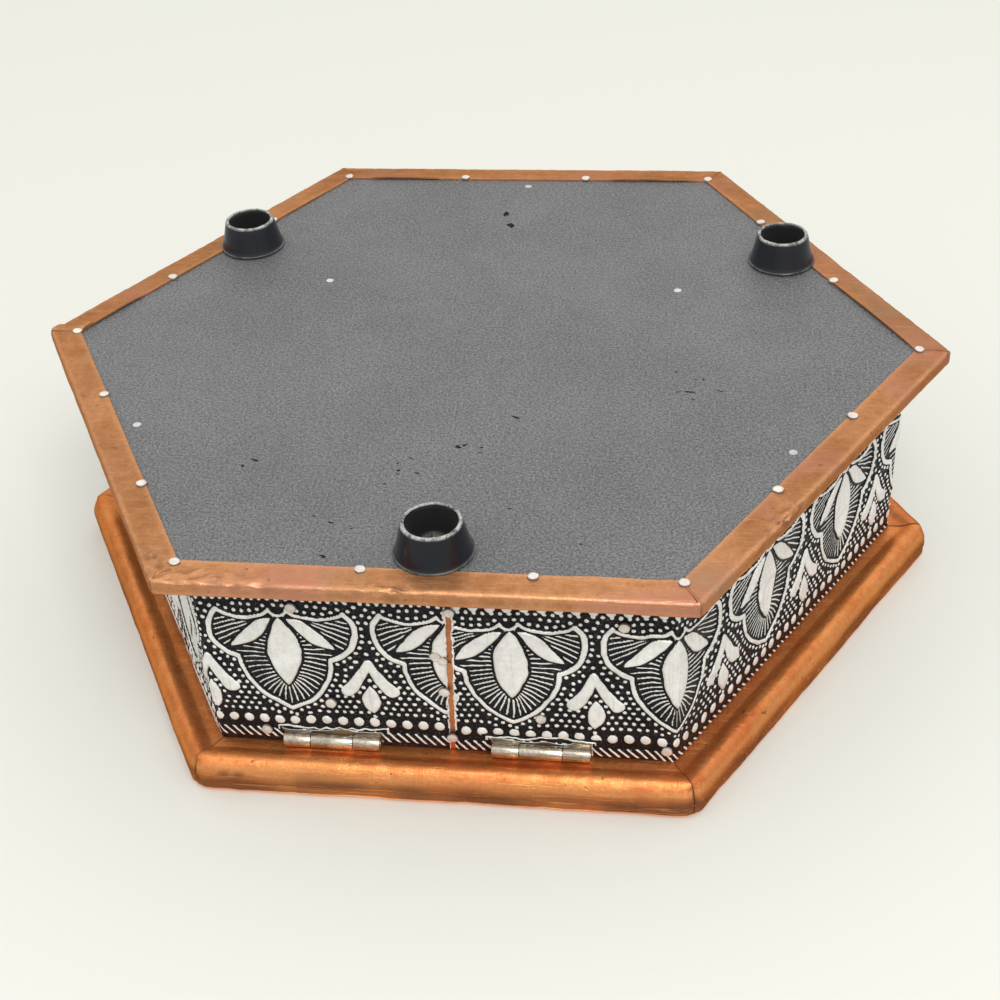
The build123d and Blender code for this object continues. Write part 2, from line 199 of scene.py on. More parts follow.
# %% Coordinates, noise, groups and whole materials
def own_places(tree):
    """The object's own coordinates, in metres, so a noise scale of 200 has marks of about 5 mm."""
    return add(tree, "ShaderNodeTexCoord", output="Object")


def stretched(tree, scale, turn_deg=0.0):
    """Those coordinates turned about Z and pressed together, so that noise draws out into lines."""
    turn = math.radians(turn_deg)
    return add(tree, "ShaderNodeMapping", Vector=own_places(tree), Scale=scale, Rotation=(0.0, turn * 0.3, turn))


def noise(tree, scale, detail=3.0, where=None, rough=0.5, distortion=0.0):
    where = where or own_places(tree)
    return add(
        tree, "ShaderNodeTexNoise", Vector=where, Scale=scale, Detail=detail, Roughness=rough, Distortion=distortion
    )


def mark(tree, label):
    """A value that the mesh carries at its points."""
    return add(tree, "ShaderNodeAttribute", {"attribute_name": label}, output="Fac")


def new_group(name, inputs, output):
    """A node group with number inputs, given with their usual values, and one number output."""
    group = bpy.data.node_groups.new(name, "ShaderNodeTree")
    for label, value in inputs.items():
        group.interface.new_socket(label, in_out="INPUT", socket_type="NodeSocketFloat").default_value = value
    group.interface.new_socket(output, in_out="OUTPUT", socket_type="NodeSocketFloat")
    given = group.nodes.new("NodeGroupInput")
    return group, [Out(group, given.outputs[label]) for label in inputs]


def use(tree, group, **inputs):
    return add(tree, "ShaderNodeGroup", {"node_tree": group}, **inputs)


def new_material(name):
    material = bpy.data.materials.new(name)
    material.use_nodes = True
    return material, material.node_tree


def layered(colour, *layers):
    """A colour with others laid over it in turn, each given as (share, colour)."""
    for share, tint in layers:
        colour = share.mix(colour, tint)
    return colour


def finish(material, colour, roughness, height, depth, strength, **others):
    """Feeds a material's shader: its colour, roughness, bumps of a height in metres, and any other input."""
    tree = material.node_tree
    normal = add(tree, "ShaderNodeBump", Height=height, Distance=depth, Strength=strength)
    others |= {"Base_Color": colour, "Roughness": roughness, "Normal": normal}
    feed(tree, tree.nodes["Principled BSDF"], others)
    return material


print("helpers: coordinates, noise, marks, groups and materials")

# %% [markdown]
# ## Effects that several materials share
#
# Three kinds of wear turn up all over a hand-made metal box. *Mottling* is the uneven colour of handled metal.
# *Scratches* are thin marks in a few directions. *Grain* is the fine unevenness that stops a surface looking
# like plastic. Each is built once as a node group and placed in every material that needs it.

# %% The shared effects as node groups
SCRATCH_WAYS = [(35.0, 0.035), (-52.0, 0.05), (81.0, 0.03)]


def make_mottle():
    """Two sizes of cloud, as a value from 0 to 1."""
    group, (scale, share) = new_group("Mottle", {"Scale": 60.0, "Fine": 0.35}, "Value")
    where = own_places(group)
    broad = noise(group, scale, 4.0, where, distortion=0.6)
    fine = noise(group, scale * 7.0, 5.0, where, 0.65)
    mixed = add(group, "ShaderNodeMix", {"data_type": "FLOAT"}, _0=share, _2=broad, _3=fine)
    add(group, "NodeGroupOutput", Value=mixed.between(0.36, 0.64))
    return group


def make_scratches():
    """Thin scratches in three directions, as a mask that is 1 in a scratch."""
    group, (scale, cover) = new_group("Scratches", {"Scale": 300.0, "Cover": 0.5}, "Mask")
    total = None
    for turn_deg, stretch in SCRATCH_WAYS:
        lines = noise(group, scale, 2.0, stretched(group, (stretch, 1.0, 1.0), turn_deg), 0.6)
        threshold = cover.between(0.0, 1.0, 0.72, 0.52)
        mask = lines.between(threshold, threshold + 0.035)
        total = total.or_more(mask) if total else mask
    add(group, "NodeGroupOutput", Mask=total)
    return group


def make_grain():
    """Fine unevenness, as a height."""
    group, (scale,) = new_group("Grain", {"Scale": 2500.0}, "Height")
    add(group, "NodeGroupOutput", Height=noise(group, scale, rough=0.7))
    return group


mottle, scratches, grain = make_mottle(), make_scratches(), make_grain()
print("node groups:", [group.name for group in (mottle, scratches, grain)])

# %% [markdown]
# ## Copper
#
# The base strips, the lid moulding and the strip under the seam are all copper sheet, at three ages. The
# strips have gone dull and brownish, with patches of pink and grey-green tarnish; the moulding is polished
# and deep orange; the seam strip is bare. One function makes all three, from the values that differ.
# Attributes of the mesh say where the metal is "rubbed" bright, partly wear and partly a painted highlight on folds,
# crease ridges and the roll, and where it is darkened, partly dirt and tarnish and partly painted shade in creases, in
# mitres and on the roll's side that rests on the floor. The places "run" along a strip and "around" its fold let the
# marks of polishing lie across it.


# %% The copper finishes
def copper(name, dull, bright, blush, tarnish, stain_and_shade_colour, patch_share, streak_share, roughness, metallic):
    material, tree = new_material(name)
    clouds = use(tree, mottle, Scale=42.0, Fine=0.45)
    marks = use(tree, scratches, Scale=1500.0, Cover=0.42)
    rubbed, stain_and_shade, run, around = (mark(tree, label) for label in ("rubbed", "stain_and_shade", "run", "around"))
    across_roll = add(tree, "ShaderNodeCombineXYZ", X=run, Y=around * 0.09)
    streaks = noise(tree, 2.2, 4.0, across_roll, 0.7).between(0.38, 0.66, 0.0, streak_share)
    fine = noise(tree, 1500.0, 4.0, rough=0.75).between(0.36, 0.64)
    pits = noise(tree, 520.0, 2.0).between(0.70, 0.74)
    colour = layered(
        # Brighter where the mesh marks it rubbed: partly wear, partly painted highlight on folds, crease ridges and
        # the roll.
        clouds.math("ADD", rubbed * 0.9, clamp=True).mix(dull, bright),
        (streaks * 0.6, bright),
        (fine * 0.40, dull),
        (noise(tree, 34.0, 4.0, distortion=0.8).between(0.52, 0.66, 0.0, patch_share), blush),
        (noise(tree, 26.0, 5.0, distortion=1.2).between(0.57, 0.68, 0.0, patch_share), tarnish),
        # Darkened by pits, and where the mesh marks it, by dirt and tarnish together with painted shade.
        ((pits * 0.65).or_more(stain_and_shade * 0.85), stain_and_shade_colour),
        (marks * 0.3, bright),
    )
    uneven = clouds.between(0.0, 1.0, roughness + 0.10, roughness - 0.05)
    uneven = uneven + stain_and_shade * 0.14 - streaks * 0.09 + fine * 0.06
    height = use(tree, grain, Scale=900.0) - pits - marks * 0.5 + streaks * 0.8 - fine * 0.5
    return finish(material, colour, uneven, height, 0.00007, 0.7, Metallic=metallic, Specular_Tint=bright)


base_copper = copper(
    "base_copper", dull=(0.40, 0.165, 0.065), bright=(0.76, 0.375, 0.18), blush=(0.62, 0.28, 0.19),
    tarnish=(0.42, 0.31, 0.18), stain_and_shade_colour=(0.19, 0.125, 0.08),
    patch_share=0.65, streak_share=0.08, roughness=0.34, metallic=0.85,
)
lid_copper = copper(
    "lid_copper", dull=(0.66, 0.17, 0.045), bright=(0.98, 0.43, 0.15), blush=(0.78, 0.22, 0.08),
    tarnish=(0.36, 0.18, 0.08), stain_and_shade_colour=(0.15, 0.07, 0.04),
    patch_share=0.45, streak_share=0.45, roughness=0.30, metallic=0.85,
)
seam_copper = copper(
    "seam_copper", dull=(0.46, 0.17, 0.07), bright=(0.72, 0.32, 0.14), blush=(0.60, 0.24, 0.12),
    tarnish=(0.25, 0.12, 0.07), stain_and_shade_colour=(0.08, 0.04, 0.025),
    patch_share=0.3, streak_share=0.0, roughness=0.4, metallic=0.9,
)
print("copper finishes:", base_copper.name, lid_copper.name, seam_copper.name)

# %% [markdown]
# ## Embossed metal
#
# The wall sheet was stamped, blackened all over, and then rubbed so that only the high places are bright.
# Where the black ends is therefore a question of height. The mesh carries that height as an attribute named
# "polish", and the material cuts it with a little noise, so the edge between black and silver is ragged, as
# rubbing leaves it.


# %% The blackened and rubbed sheet
def embossed_metal():
    material, tree = new_material("embossed_metal")
    ragged = noise(tree, 1500.0, 4.0, rough=0.7).between(0.0, 1.0, -0.22, 0.22)
    rubbed = (mark(tree, "polish") + ragged).between(0.40, 0.58)
    clouds = use(tree, mottle, Scale=140.0, Fine=0.5)
    marks = noise(tree, 1700.0, 3.0, stretched(tree, (1.0, 1.0, 0.05)), 0.6).between(0.56, 0.70)
    specks = noise(tree, 2600.0, 2.0).between(0.60, 0.74)
    silver = layered(clouds.mix((0.74, 0.73, 0.67), (0.97, 0.96, 0.91)), (marks * 0.30, (0.40, 0.39, 0.36)))
    black = clouds.mix((0.003, 0.003, 0.004), (0.013, 0.013, 0.015))
    black = layered(black, (specks * 0.25, (0.35, 0.35, 0.34)))
    height = use(tree, grain, Scale=3200.0) + marks * -0.5
    return finish(
        material, rubbed.mix(black, silver), rubbed.between(0.0, 1.0, 0.42, 0.36), height, 0.00005, 0.55,
        Metallic=rubbed.between(0.0, 1.0, 0.0, 0.30), Specular_IOR_Level=0.14,
    )


embossed = embossed_metal()
print("sheet finish:", embossed.name)

# %% [markdown]
# ## Paint and plastic
#
# The underside is black paint on board, with a fine pale speckle where dust has settled into it. Where it has
# chipped it is dark and rough and doesn't shine. The feet are moulded plastic, glossy, with a rim worn grey.


# %% The finishes of the underside
def black_paint():
    material, tree = new_material("black_paint")
    clouds = use(tree, mottle, Scale=30.0, Fine=0.4)
    speckle = noise(tree, 1900.0, 3.0, rough=0.85).between(0.38, 0.62)
    dust = speckle.between(0.5, 1.0)
    ticks = noise(tree, 1600.0, 3.0, stretched(tree, (0.35, 1.0, 1.0), 6.0), 0.6).between(0.64, 0.72)
    colour = layered(
        clouds.mix((0.100, 0.101, 0.104), (0.138, 0.139, 0.142)),
        (speckle.between(0.5, 0.0, 0.0, 0.85), (0.018, 0.018, 0.020)),
        (dust * 0.30, (0.42, 0.43, 0.44)),
        (ticks * 0.6, (0.015, 0.015, 0.017)),
    )
    height = speckle + noise(tree, 900.0) * 2.0
    rough = clouds.between(0.0, 1.0, 0.56, 0.46) - dust * 0.1
    return finish(material, colour, rough, height, 0.00009, 0.8, Specular_IOR_Level=0.95)


def bare_chip():
    material, tree = new_material("bare_chip")
    rough = noise(tree, 3000.0, rough=0.7)
    colour = rough.mix((0.004, 0.004, 0.005), (0.03, 0.03, 0.03))
    dull = rough.between(0.3, 0.7, 0.95, 0.75)
    return finish(material, colour, dull, rough, 0.00006, 0.8, Specular_IOR_Level=0.1)


def black_plastic():
    material, tree = new_material("black_plastic")
    worn, inside = mark(tree, "rubbed"), mark(tree, "inside")
    scuffs = worn * use(tree, mottle, Scale=420.0, Fine=0.5).between(0.1, 0.7)
    # Painted shade: inside the bore the plastic is painted darker than the rest.
    colour = layered(scuffs.mix((0.006, 0.008, 0.013), (0.46, 0.47, 0.44)), (inside, (0.002, 0.002, 0.002)))
    rough = scuffs.between(0.0, 1.0, 0.22, 0.55).or_more(inside * 0.95)
    return finish(material, colour, rough, use(tree, grain, Scale=700.0), 0.00008, 0.35)


painted_board, chipped_paint, foot_plastic = black_paint(), bare_chip(), black_plastic()
print("underside finishes:", painted_board.name, chipped_paint.name, foot_plastic.name)

# %% [markdown]
# ## Small metal parts, velvet and wood
#
# The tacks, hinges, nails and screws are plain metals that differ only in their colours and shine. Velvet is
# darker where its pile leans away, and shines softly at a low angle. The walls are plain wood, seen only at
# their top edge.


# %% The other finishes, and which slot has which
def plain_metal(name, dark, light, roughness, scratch_cover, metallic=1.0):
    material, tree = new_material(name)
    clouds = use(tree, mottle, Scale=260.0, Fine=0.5)
    marks = use(tree, scratches, Scale=1100.0, Cover=scratch_cover)
    # Painted shade: where a mesh marks it, as round the rim of each tack head, the metal is painted dark.
    rim_shade = (mark(tree, "stain_and_shade") * 0.85, (0.03, 0.022, 0.016))
    colour = layered(clouds.mix(dark, light), (marks * 0.5, dark), rim_shade)
    height = use(tree, grain, Scale=1800.0) - marks
    rough = clouds.between(0.0, 1.0, roughness + 0.12, roughness)
    return finish(material, colour, rough, height, 0.00004, 0.5, Metallic=metallic)


def velvet_pile():
    material, tree = new_material("velvet_pile")
    leaning = use(tree, mottle, Scale=38.0, Fine=0.25)
    pile = noise(tree, 3800.0, 2.0)
    colour = leaning.mix((0.10, 0.006, 0.014), (0.25, 0.018, 0.035))
    colour = layered(colour, (pile.between(0.3, 0.7, 0.0, 0.35), (0.04, 0.002, 0.005)))
    return finish(
        material, colour, leaning.between(0.0, 1.0, 0.95, 0.8), pile, 0.0002, 0.7,
        Sheen_Weight=0.35, Sheen_Tint=(0.75, 0.22, 0.28), Sheen_Roughness=0.4,
    )


def plain_wood():
    material, tree = new_material("plain_wood")
    lines = noise(tree, 650.0, 4.0, stretched(tree, (0.06, 1.0, 1.0)), 0.6, 0.4)
    colour = lines.between(0.35, 0.65).mix((0.36, 0.21, 0.10), (0.58, 0.40, 0.23))
    colour = layered(colour, (use(tree, mottle, Scale=60.0, Fine=0.5) * 0.3, (0.30, 0.17, 0.08)))
    return finish(material, colour, lines.between(0.3, 0.7, 0.75, 0.6), lines, 0.0001, 0.6)


FINISH_OF_SLOT = {
    "base_copper": base_copper,
    "lid_copper": lid_copper,
    "seam_copper": seam_copper,
    "embossed_sheet": embossed,
    "black_board": painted_board,
    "foot_black": foot_plastic,
    "board_wood": plain_wood(),
    "velvet": velvet_pile(),
    "tack_metal": plain_metal("tack_metal", (0.62, 0.54, 0.48), (0.92, 0.86, 0.78), 0.42, 0.45, metallic=0.3),
    "hinge_nickel": plain_metal("hinge_metal", (0.34, 0.29, 0.22), (0.82, 0.76, 0.64), 0.24, 0.55),
    "nail_steel": plain_metal("nail_metal", (0.55, 0.54, 0.53), (0.92, 0.91, 0.89), 0.38, 0.4),
    "screw_steel": plain_metal("screw_metal", (0.20, 0.19, 0.18), (0.42, 0.41, 0.40), 0.42, 0.5),
}
print(len(FINISH_OF_SLOT), "slots have a finish")

# %% [markdown]
# ## Finishes for the construction model
#
# Every node that came with the model keeps its shape and gets the finish that its material slot names. Later
# steps hide some of these nodes behind more detailed pieces. The hinges stay in sight and have hard machined
# edges, so a Weld and a small Bevel modifier round them, which leaves the node's own mesh untouched.

# %% Give every node its finish
EDGE_ROUND = 0.09


def round_edges(node):
    node.modifiers.new("weld", "WELD").merge_threshold = 0.00001
    bevel = node.modifiers.new("bevel", "BEVEL")
    bevel.width = EDGE_ROUND * MM
    bevel.segments = 2
    bevel.limit_method = "ANGLE"
    bevel.angle_limit = math.radians(38)
    bevel.harden_normals = True


for name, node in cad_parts.items():
    slot_name = node.data.materials[0].name.split(".")[0]
    node.data.materials[0] = FINISH_OF_SLOT[slot_name]
    if name.startswith("hinge") and "nails" not in name:
        round_edges(node)
print(len(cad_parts), "nodes have their finish")

# %% [markdown]
# ## Mesh helpers
#
# Most of the pieces are thin metal laid along a side of the hexagon. They are easiest to describe as "along
# the side, out from the middle, and up", so one function turns such places into points of the box. Others
# join rings of points into a closed shape, and make an object that has its finish and rides on its body.


# %% From places on a side to points, and from points to pieces
def side_points(side, along, out, level):
    """Points of the box from arrays of places on one side."""
    turn = math.radians(SIDES[side])
    x = out * math.cos(turn) - along * math.sin(turn)
    y = out * math.sin(turn) + along * math.cos(turn)
    return np.stack(np.broadcast_arrays(x, y, level), axis=-1)


def tube_faces(rows, count, flip=False):
    """Faces of a closed shape of rings of points: four-sided ones from ring to ring, and two caps."""
    faces = []
    for first in range(0, (rows - 1) * count, count):
        for k in range(count):
            a, b = first + k, first + (k + 1) % count
            faces.append([a, a + count, b + count, b] if flip else [a, b, b + count, a + count])
    first, last = list(range(count)), list(range((rows - 1) * count, rows * count))
    return faces + ([first, last[::-1]] if flip else [first[::-1], last])


def joined(shapes):
    """Several shapes as one, each given as its points and faces."""
    points, faces = [], []
    for new_points, new_faces in shapes:
        faces += [[len(points) + index for index in face] for face in new_faces]
        points += list(new_points)
    return points, faces


def make_piece(name, points, faces, slot, body, replaced=(), smooth=True, marks=None, sharp_deg=40):
    """A mesh object with its finish. marks holds point attributes, such as where the metal is rubbed."""
    mesh = bpy.data.meshes.new(name)
    mesh.from_pydata((np.asarray(points).reshape(-1, 3) * MM).tolist(), [], faces)
    for label, values in (marks or {}).items():
        layer = mesh.attributes.new(label, "FLOAT", "POINT")
        layer.data.foreach_set("value", np.asarray(values, np.float32).ravel())
    mesh.polygons.foreach_set("use_smooth", np.full(len(mesh.polygons), smooth))
    if smooth:
        mesh.set_sharp_from_angle(angle=math.radians(sharp_deg))
    mesh.materials.append(FINISH_OF_SLOT[slot])
    piece = add_object(name, mesh)
    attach(piece, body)
    for node in replaced:
        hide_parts(node)
    return piece


print("helpers: side points, tubes, joined shapes and pieces")


# %% Soft random hills, and other small formulas
def four_mixed(table, i, j, next_i, next_j, s, t):
    """The value between four entries of a table."""
    low = table[i, j] * (1 - s) + table[next_i, j] * s
    high = table[i, next_j] * (1 - s) + table[next_i, next_j] * s
    return low * (1 - t) + high * t


def smooth_noise(u, v, cell, seed):
    """Soft random hills over a plane, from -1 to 1, with hills about one cell wide."""
    table = np.random.default_rng(seed).uniform(-1, 1, (128, 128))
    u, v = np.asarray(u) / cell + 64, np.asarray(v) / cell + 64
    i, j = np.floor(u).astype(int), np.floor(v).astype(int)
    s, t = u - i, v - j
    s, t = s * s * (3 - 2 * s), t * t * (3 - 2 * t)
    return four_mixed(table, i % 128, j % 128, (i + 1) % 128, (j + 1) % 128, s, t)


def hills(u, v, *sizes):
    """Hills of several sizes, each given as (height, cell, seed)."""
    return sum(height * smooth_noise(u, v, cell, seed) for height, cell, seed in sizes)


def bell(distance):
    return np.exp(-(distance**2))


def step_up(value, low, high):
    share = np.clip((value - low) / (high - low), 0, 1)
    return share * share * (3 - 2 * share)


def rounded(depth, width):
    """A rounded shoulder: 0 outside a shape, rising to 1 a width inside it."""
    share = np.clip(depth / width, 0, 1)
    return np.sqrt(share * (2 - share))


print(f"hills of 5 mm reach {smooth_noise(np.arange(200.0), 0, 5.0, 1).max():.2f}")

# %% [markdown]
# ## The stamped pattern
#
# The sheet carries one motif after another: a palmette in a scalloped frame, then a small sprig, over a ground
# of dots, between two rows of beads and a roped edge. A picture could stand in for it, but then the metal would
# be flat. Here the pattern is a height: every place on the sheet asks how far it is from each ridge, leaf and
# dot, and rises accordingly. The lines of the motif are smooth curves through a few points.


# %% Lines, leaves and distances
def smooth_line(points, steps=8):
    """A curve through the points, as many short straight runs (Catmull-Rom)."""
    points = np.array(points, float)
    padded = np.vstack([2 * points[0] - points[1], points, 2 * points[-1] - points[-2]])
    line = []
    for a, b, c, d in zip(padded, padded[1:], padded[2:], padded[3:]):
        square, cube = 2 * a - 5 * b + 4 * c - d, 3 * b - a - 3 * c + d
        line += [0.5 * (2 * b + (c - a) * t + square * t**2 + cube * t**3) for t in np.arange(steps) / steps]
    return np.array(line + [points[-1]])


def distance_to_line(x, y, line):
    """How far each place lies from a line of straight runs."""
    nearest = np.full(np.shape(x), np.inf)
    for (ax, ay), (bx, by) in zip(line, line[1:]):
        dx, dy = bx - ax, by - ay
        share = np.clip(((x - ax) * dx + (y - ay) * dy) / (dx * dx + dy * dy + 1e-12), 0, 1)
        nearest = np.minimum(nearest, (x - ax - share * dx) ** 2 + (y - ay - share * dy) ** 2)
    return np.sqrt(nearest)


def depth_inside(x, y, outline):
    """Distance from a closed outline: positive inside it, negative outside."""
    inside = np.zeros(np.shape(x), bool)
    for (ax, ay), (bx, by) in zip(outline, np.roll(outline, -1, axis=0)):
        inside ^= ((ay > y) != (by > y)) & (x < ax + (y - ay) * (bx - ax) / (by - ay + 1e-12))
    away = distance_to_line(x, y, np.vstack([outline, outline[:1]]))
    return np.where(inside, away, -away)


def along_line(line):
    """The direction of a line at each of its points."""
    run = np.gradient(line, axis=0)
    return run / np.linalg.norm(run, axis=1)[:, None]


def length_so_far(line):
    return np.r_[0, np.cumsum(np.hypot(*np.diff(line, axis=0).T))]


def leaf_outline(spine, widest, blunt=0.8, lean=1.0):
    """A leaf about a spine: it starts narrow, is widest about its middle and ends in a point."""
    spine = smooth_line(spine)
    run = along_line(spine)
    half = widest * np.sin(math.pi * np.linspace(0, 1, len(spine)) ** lean) ** blunt
    beside = np.stack([-run[:, 1], run[:, 0]], axis=1) * half[:, None]
    return np.vstack([spine + beside, (spine - beside)[::-1]])


def mirrored(points):
    return [(-x, y) for x, y in points]


print("helpers: smooth lines, leaves and distances from them")

# %% The palmette and the three-leaved sprig
# Each point is (across from the motif's middle, down from the base's face).
RING_MIDDLE = (0.0, 12.7)
RING_RADIUS = 1.75
SCROLL = [(1.8, 13.2), (3.5, 14.4), (7.0, 15.0), (10.2, 14.5), (12.4, 13.3)]
UPPER_LOBE = [(12.4, 13.3), (13.8, 15.4), (14.2, 18.1), (13.4, 21.5), (11.4, 24.0), (9.1, 25.2)]
LOWER_LOBE = [(9.0, 25.4), (8.6, 28.2), (7.5, 31.2), (5.4, 34.3), (2.6, 36.7), (0.0, 38.2)]
RIDGE_HALVES = ((SCROLL, 0.36), (UPPER_LOBE, 0.56), (LOWER_LOBE, 0.46))
RING_HALF = 0.30
MIDDLE_LEAF = [(0.0, 14.9), (0.0, 32.0)]
MIDDLE_LEAF_HALF = 3.25
SIDE_LEAF = [(1.5, 15.1), (3.9, 16.8), (6.8, 19.9), (10.3, 22.4)]
SIDE_LEAF_HALF = 1.55
SPRIG_ARM = [(0.0, 25.4), (1.2, 28.3), (2.6, 30.9), (4.2, 32.9)]
SPRIG_DROP = [(0.0, 31.6), (0.0, 38.9)]
SPRIG_DROP_HALF = 1.75


def palmette():
    """The shapes of one palmette: ridges, leaves and its closed outline."""
    angles = np.linspace(0.15, math.pi - 0.15, 14)
    ring = np.array(RING_MIDDLE) + RING_RADIUS * np.stack([np.cos(angles), np.sin(angles)], axis=1)
    ridges = [(ring, RING_HALF)]
    leaves = [leaf_outline(np.linspace(*MIDDLE_LEAF, 5), MIDDLE_LEAF_HALF, 0.78)]
    for flip in (list, mirrored):
        ridges += [(smooth_line(flip(line)), half) for line, half in RIDGE_HALVES]
        leaves.append(leaf_outline(flip(SIDE_LEAF), SIDE_LEAF_HALF, 0.75, 1.15))
    half = np.vstack([smooth_line(line) for line, _ in RIDGE_HALVES])
    outline = np.vstack([half, half[::-1] * (-1, 1)])
    return {"ridges": ridges, "leaves": leaves, "outline": outline}


def sprig(middle):
    arms = [smooth_line(np.array(flip(SPRIG_ARM)) + (middle, 0)) for flip in (list, mirrored)]
    drop = leaf_outline(np.linspace(*SPRIG_DROP, 5) + (middle, 0), SPRIG_DROP_HALF, 0.85, 1.1)
    return {"arms": arms, "drop": drop}


print(f"the palmette is {np.ptp(palmette()['outline'][:, 0]):.1f} mm wide")

# %% Fine hatching and the ground of dots
FAN_TOP = RING_MIDDLE[1] + 0.6
FAN_STEP = math.radians(5.3)
FAN_TO = math.radians(41)
LEAF_MIDDLE, LEAF_FOCUS = 23.6, 7.3
HATCH_STEP = 0.128
DOT_SPACING = 1.62
DOT_CLEARANCE = 0.6
DOT_SEARCH = 0.45


def hatching(x, y):
    """Distance to fine lines: fanned from the ring in the upper lobes, square to the middle leaf below."""
    reach, turn = np.hypot(x, y - FAN_TOP), np.arctan2(y - FAN_TOP, np.abs(x))
    fan = np.abs((turn / FAN_STEP + 0.5) % 1 - 0.5) * FAN_STEP * reach
    fan = np.where(reach < 5.0, 9.0, fan)
    near, far = np.hypot(x, y - LEAF_MIDDLE + LEAF_FOCUS), np.hypot(x, y - LEAF_MIDDLE - LEAF_FOCUS)
    turn_round = np.arccos(np.clip((near - far) / (2 * LEAF_FOCUS), -1, 1))
    square = np.abs((turn_round / HATCH_STEP + 0.5) % 1 - 0.5) * HATCH_STEP * np.sqrt(near * far)
    return np.where(turn < FAN_TO, fan, square)


def offset_row(line, away, spacing):
    """Evenly spaced places beside a line, at a distance from it."""
    run = along_line(line)
    beside = line + np.stack([run[:, 1], -run[:, 0]], axis=1) * away
    reach = length_so_far(beside)
    places = np.arange(0, reach[-1], spacing)
    return list(zip(np.interp(places, reach, beside[:, 0]), np.interp(places, reach, beside[:, 1])))


def pack_dots(shapes_distance, low, high, candidates):
    """Dots in the free ground: first at the given places, then in rows, then wherever there is still room."""
    for count, y in enumerate(np.arange(low[1], high[1], DOT_SPACING * 0.87)):
        shift = 0.5 * DOT_SPACING * (count % 2)
        candidates += [(x, y) for x in np.arange(low[0] + shift, high[0], DOT_SPACING)]
    fine_x, fine_y = (np.arange(low[k], high[k], DOT_SEARCH) for k in (0, 1))
    candidates = np.array(candidates + [(x, y) for y in fine_y for x in fine_x])
    free = shapes_distance(candidates[:, 0], candidates[:, 1]) > DOT_CLEARANCE
    kept = []
    for x, y in candidates[free]:
        if kept:
            taken = np.array(kept)
            dx = np.abs(taken[:, 0] - x)
            dx = np.minimum(dx, high[0] - low[0] - dx)
            if np.min(dx**2 + (taken[:, 1] - y) ** 2) < (0.86 * DOT_SPACING) ** 2:
                continue
        kept.append((x, y))
    return np.array(kept)


def design_of(one, sprigs, low, high, allowed=None):
    """A whole design: its shapes, and the dots packed between them where dots are allowed."""
    outlines = [one["outline"], *one["leaves"], *(sprig_shape["drop"] for sprig_shape in sprigs)]

    def nearest_shape(x, y):
        away = [-depth_inside(x, y, outline) for outline in outlines]
        away += [distance_to_line(x, y, ridge) - half for ridge, half in one["ridges"]]
        away += [distance_to_line(x, y, arm) - 1.15 for s in sprigs for arm in s["arms"]]
        nearest = np.min(away, axis=0)
        return nearest if allowed is None else np.where(allowed(x, y), nearest, -1)

    rows = []
    for flip, side_sign in ((list, 1), (mirrored, -1)):
        for line in (UPPER_LOBE, LOWER_LOBE, SCROLL):
            rows += offset_row(smooth_line(flip(line)), side_sign * 1.28, DOT_SPACING)
    dots = pack_dots(nearest_shape, low, high, rows)
    return {"palmette": one, "sprigs": sprigs, "dots": dots, "width": high[0] - low[0]}


print(f"dots stand {DOT_SPACING} mm apart")

# %% The height of a design at any place
RIDGE_HEIGHT = 0.56
LEAF_HEIGHT = 0.64
HATCH_HEIGHT = 0.24
DOT_HEIGHT = 0.40
DOT_RADIUS = 0.43
TILE_STEP = 0.1


def emboss(x, y, design):
    """Height in mm, and polish from 0 to 1, at places of the design."""
    height, polish = np.zeros(x.shape), np.zeros(x.shape)

    def raise_to(new_height, new_polish, where=...):
        height[where] = np.maximum(height[where], new_height)
        polish[where] = np.maximum(polish[where], new_polish)

    one = design["palmette"]
    near = np.abs(x) < 16
    px, py = x[near], y[near]
    ridge = np.max([half - distance_to_line(px, py, line) for line, half in one["ridges"]], axis=0)
    leaf = np.max([depth_inside(px, py, outline) for outline in one["leaves"]], axis=0)
    lines = -hatching(px, py)
    free = step_up(depth_inside(px, py, one["outline"]), 0.75, 1.05) * step_up(-leaf, 0.4, 0.6)
    raise_to(RIDGE_HEIGHT * rounded(ridge + 0.12, 0.45), step_up(ridge, -0.06, 0.10), near)
    raise_to(LEAF_HEIGHT * rounded(leaf + 0.10, 0.75), step_up(leaf, -0.08, 0.10), near)
    raise_to(HATCH_HEIGHT * step_up(lines, -0.26, -0.06) * free, 0.8 * step_up(lines, -0.25, -0.11) * free, near)
    for one in design["sprigs"]:
        apex = one["arms"][0][0]
        widening = 0.72 + 0.75 * np.clip(np.hypot(x - apex[0], y - apex[1]) / 8.5, 0, 1)
        depths = [widening - distance_to_line(x, y, arm) for arm in one["arms"]] + [depth_inside(x, y, one["drop"])]
        for depth in depths:
            raise_to(LEAF_HEIGHT * rounded(depth + 0.1, 0.6), step_up(depth, -0.08, 0.1))
    for dot_x, dot_y in design["dots"]:
        for at in (dot_x - design["width"], dot_x, dot_x + design["width"]):
            if x.min() - 0.8 < at < x.max() + 0.8:
                near = (np.abs(x - at) < 0.8) & (np.abs(y - dot_y) < 0.8)
                depth = DOT_RADIUS - np.hypot(x[near] - at, y[near] - dot_y)
                raise_to(DOT_HEIGHT * rounded(depth + 0.1, 0.45), step_up(depth, -0.06, 0.12), near)
    return height, polish


def make_tile(low, high, design):
    """The design worked out once on a fine grid, for looking up later."""
    xs, ys = (np.arange(low[k], high[k] + TILE_STEP, TILE_STEP) for k in (0, 1))
    return low, emboss(*np.meshgrid(xs, ys, indexing="ij"), design)


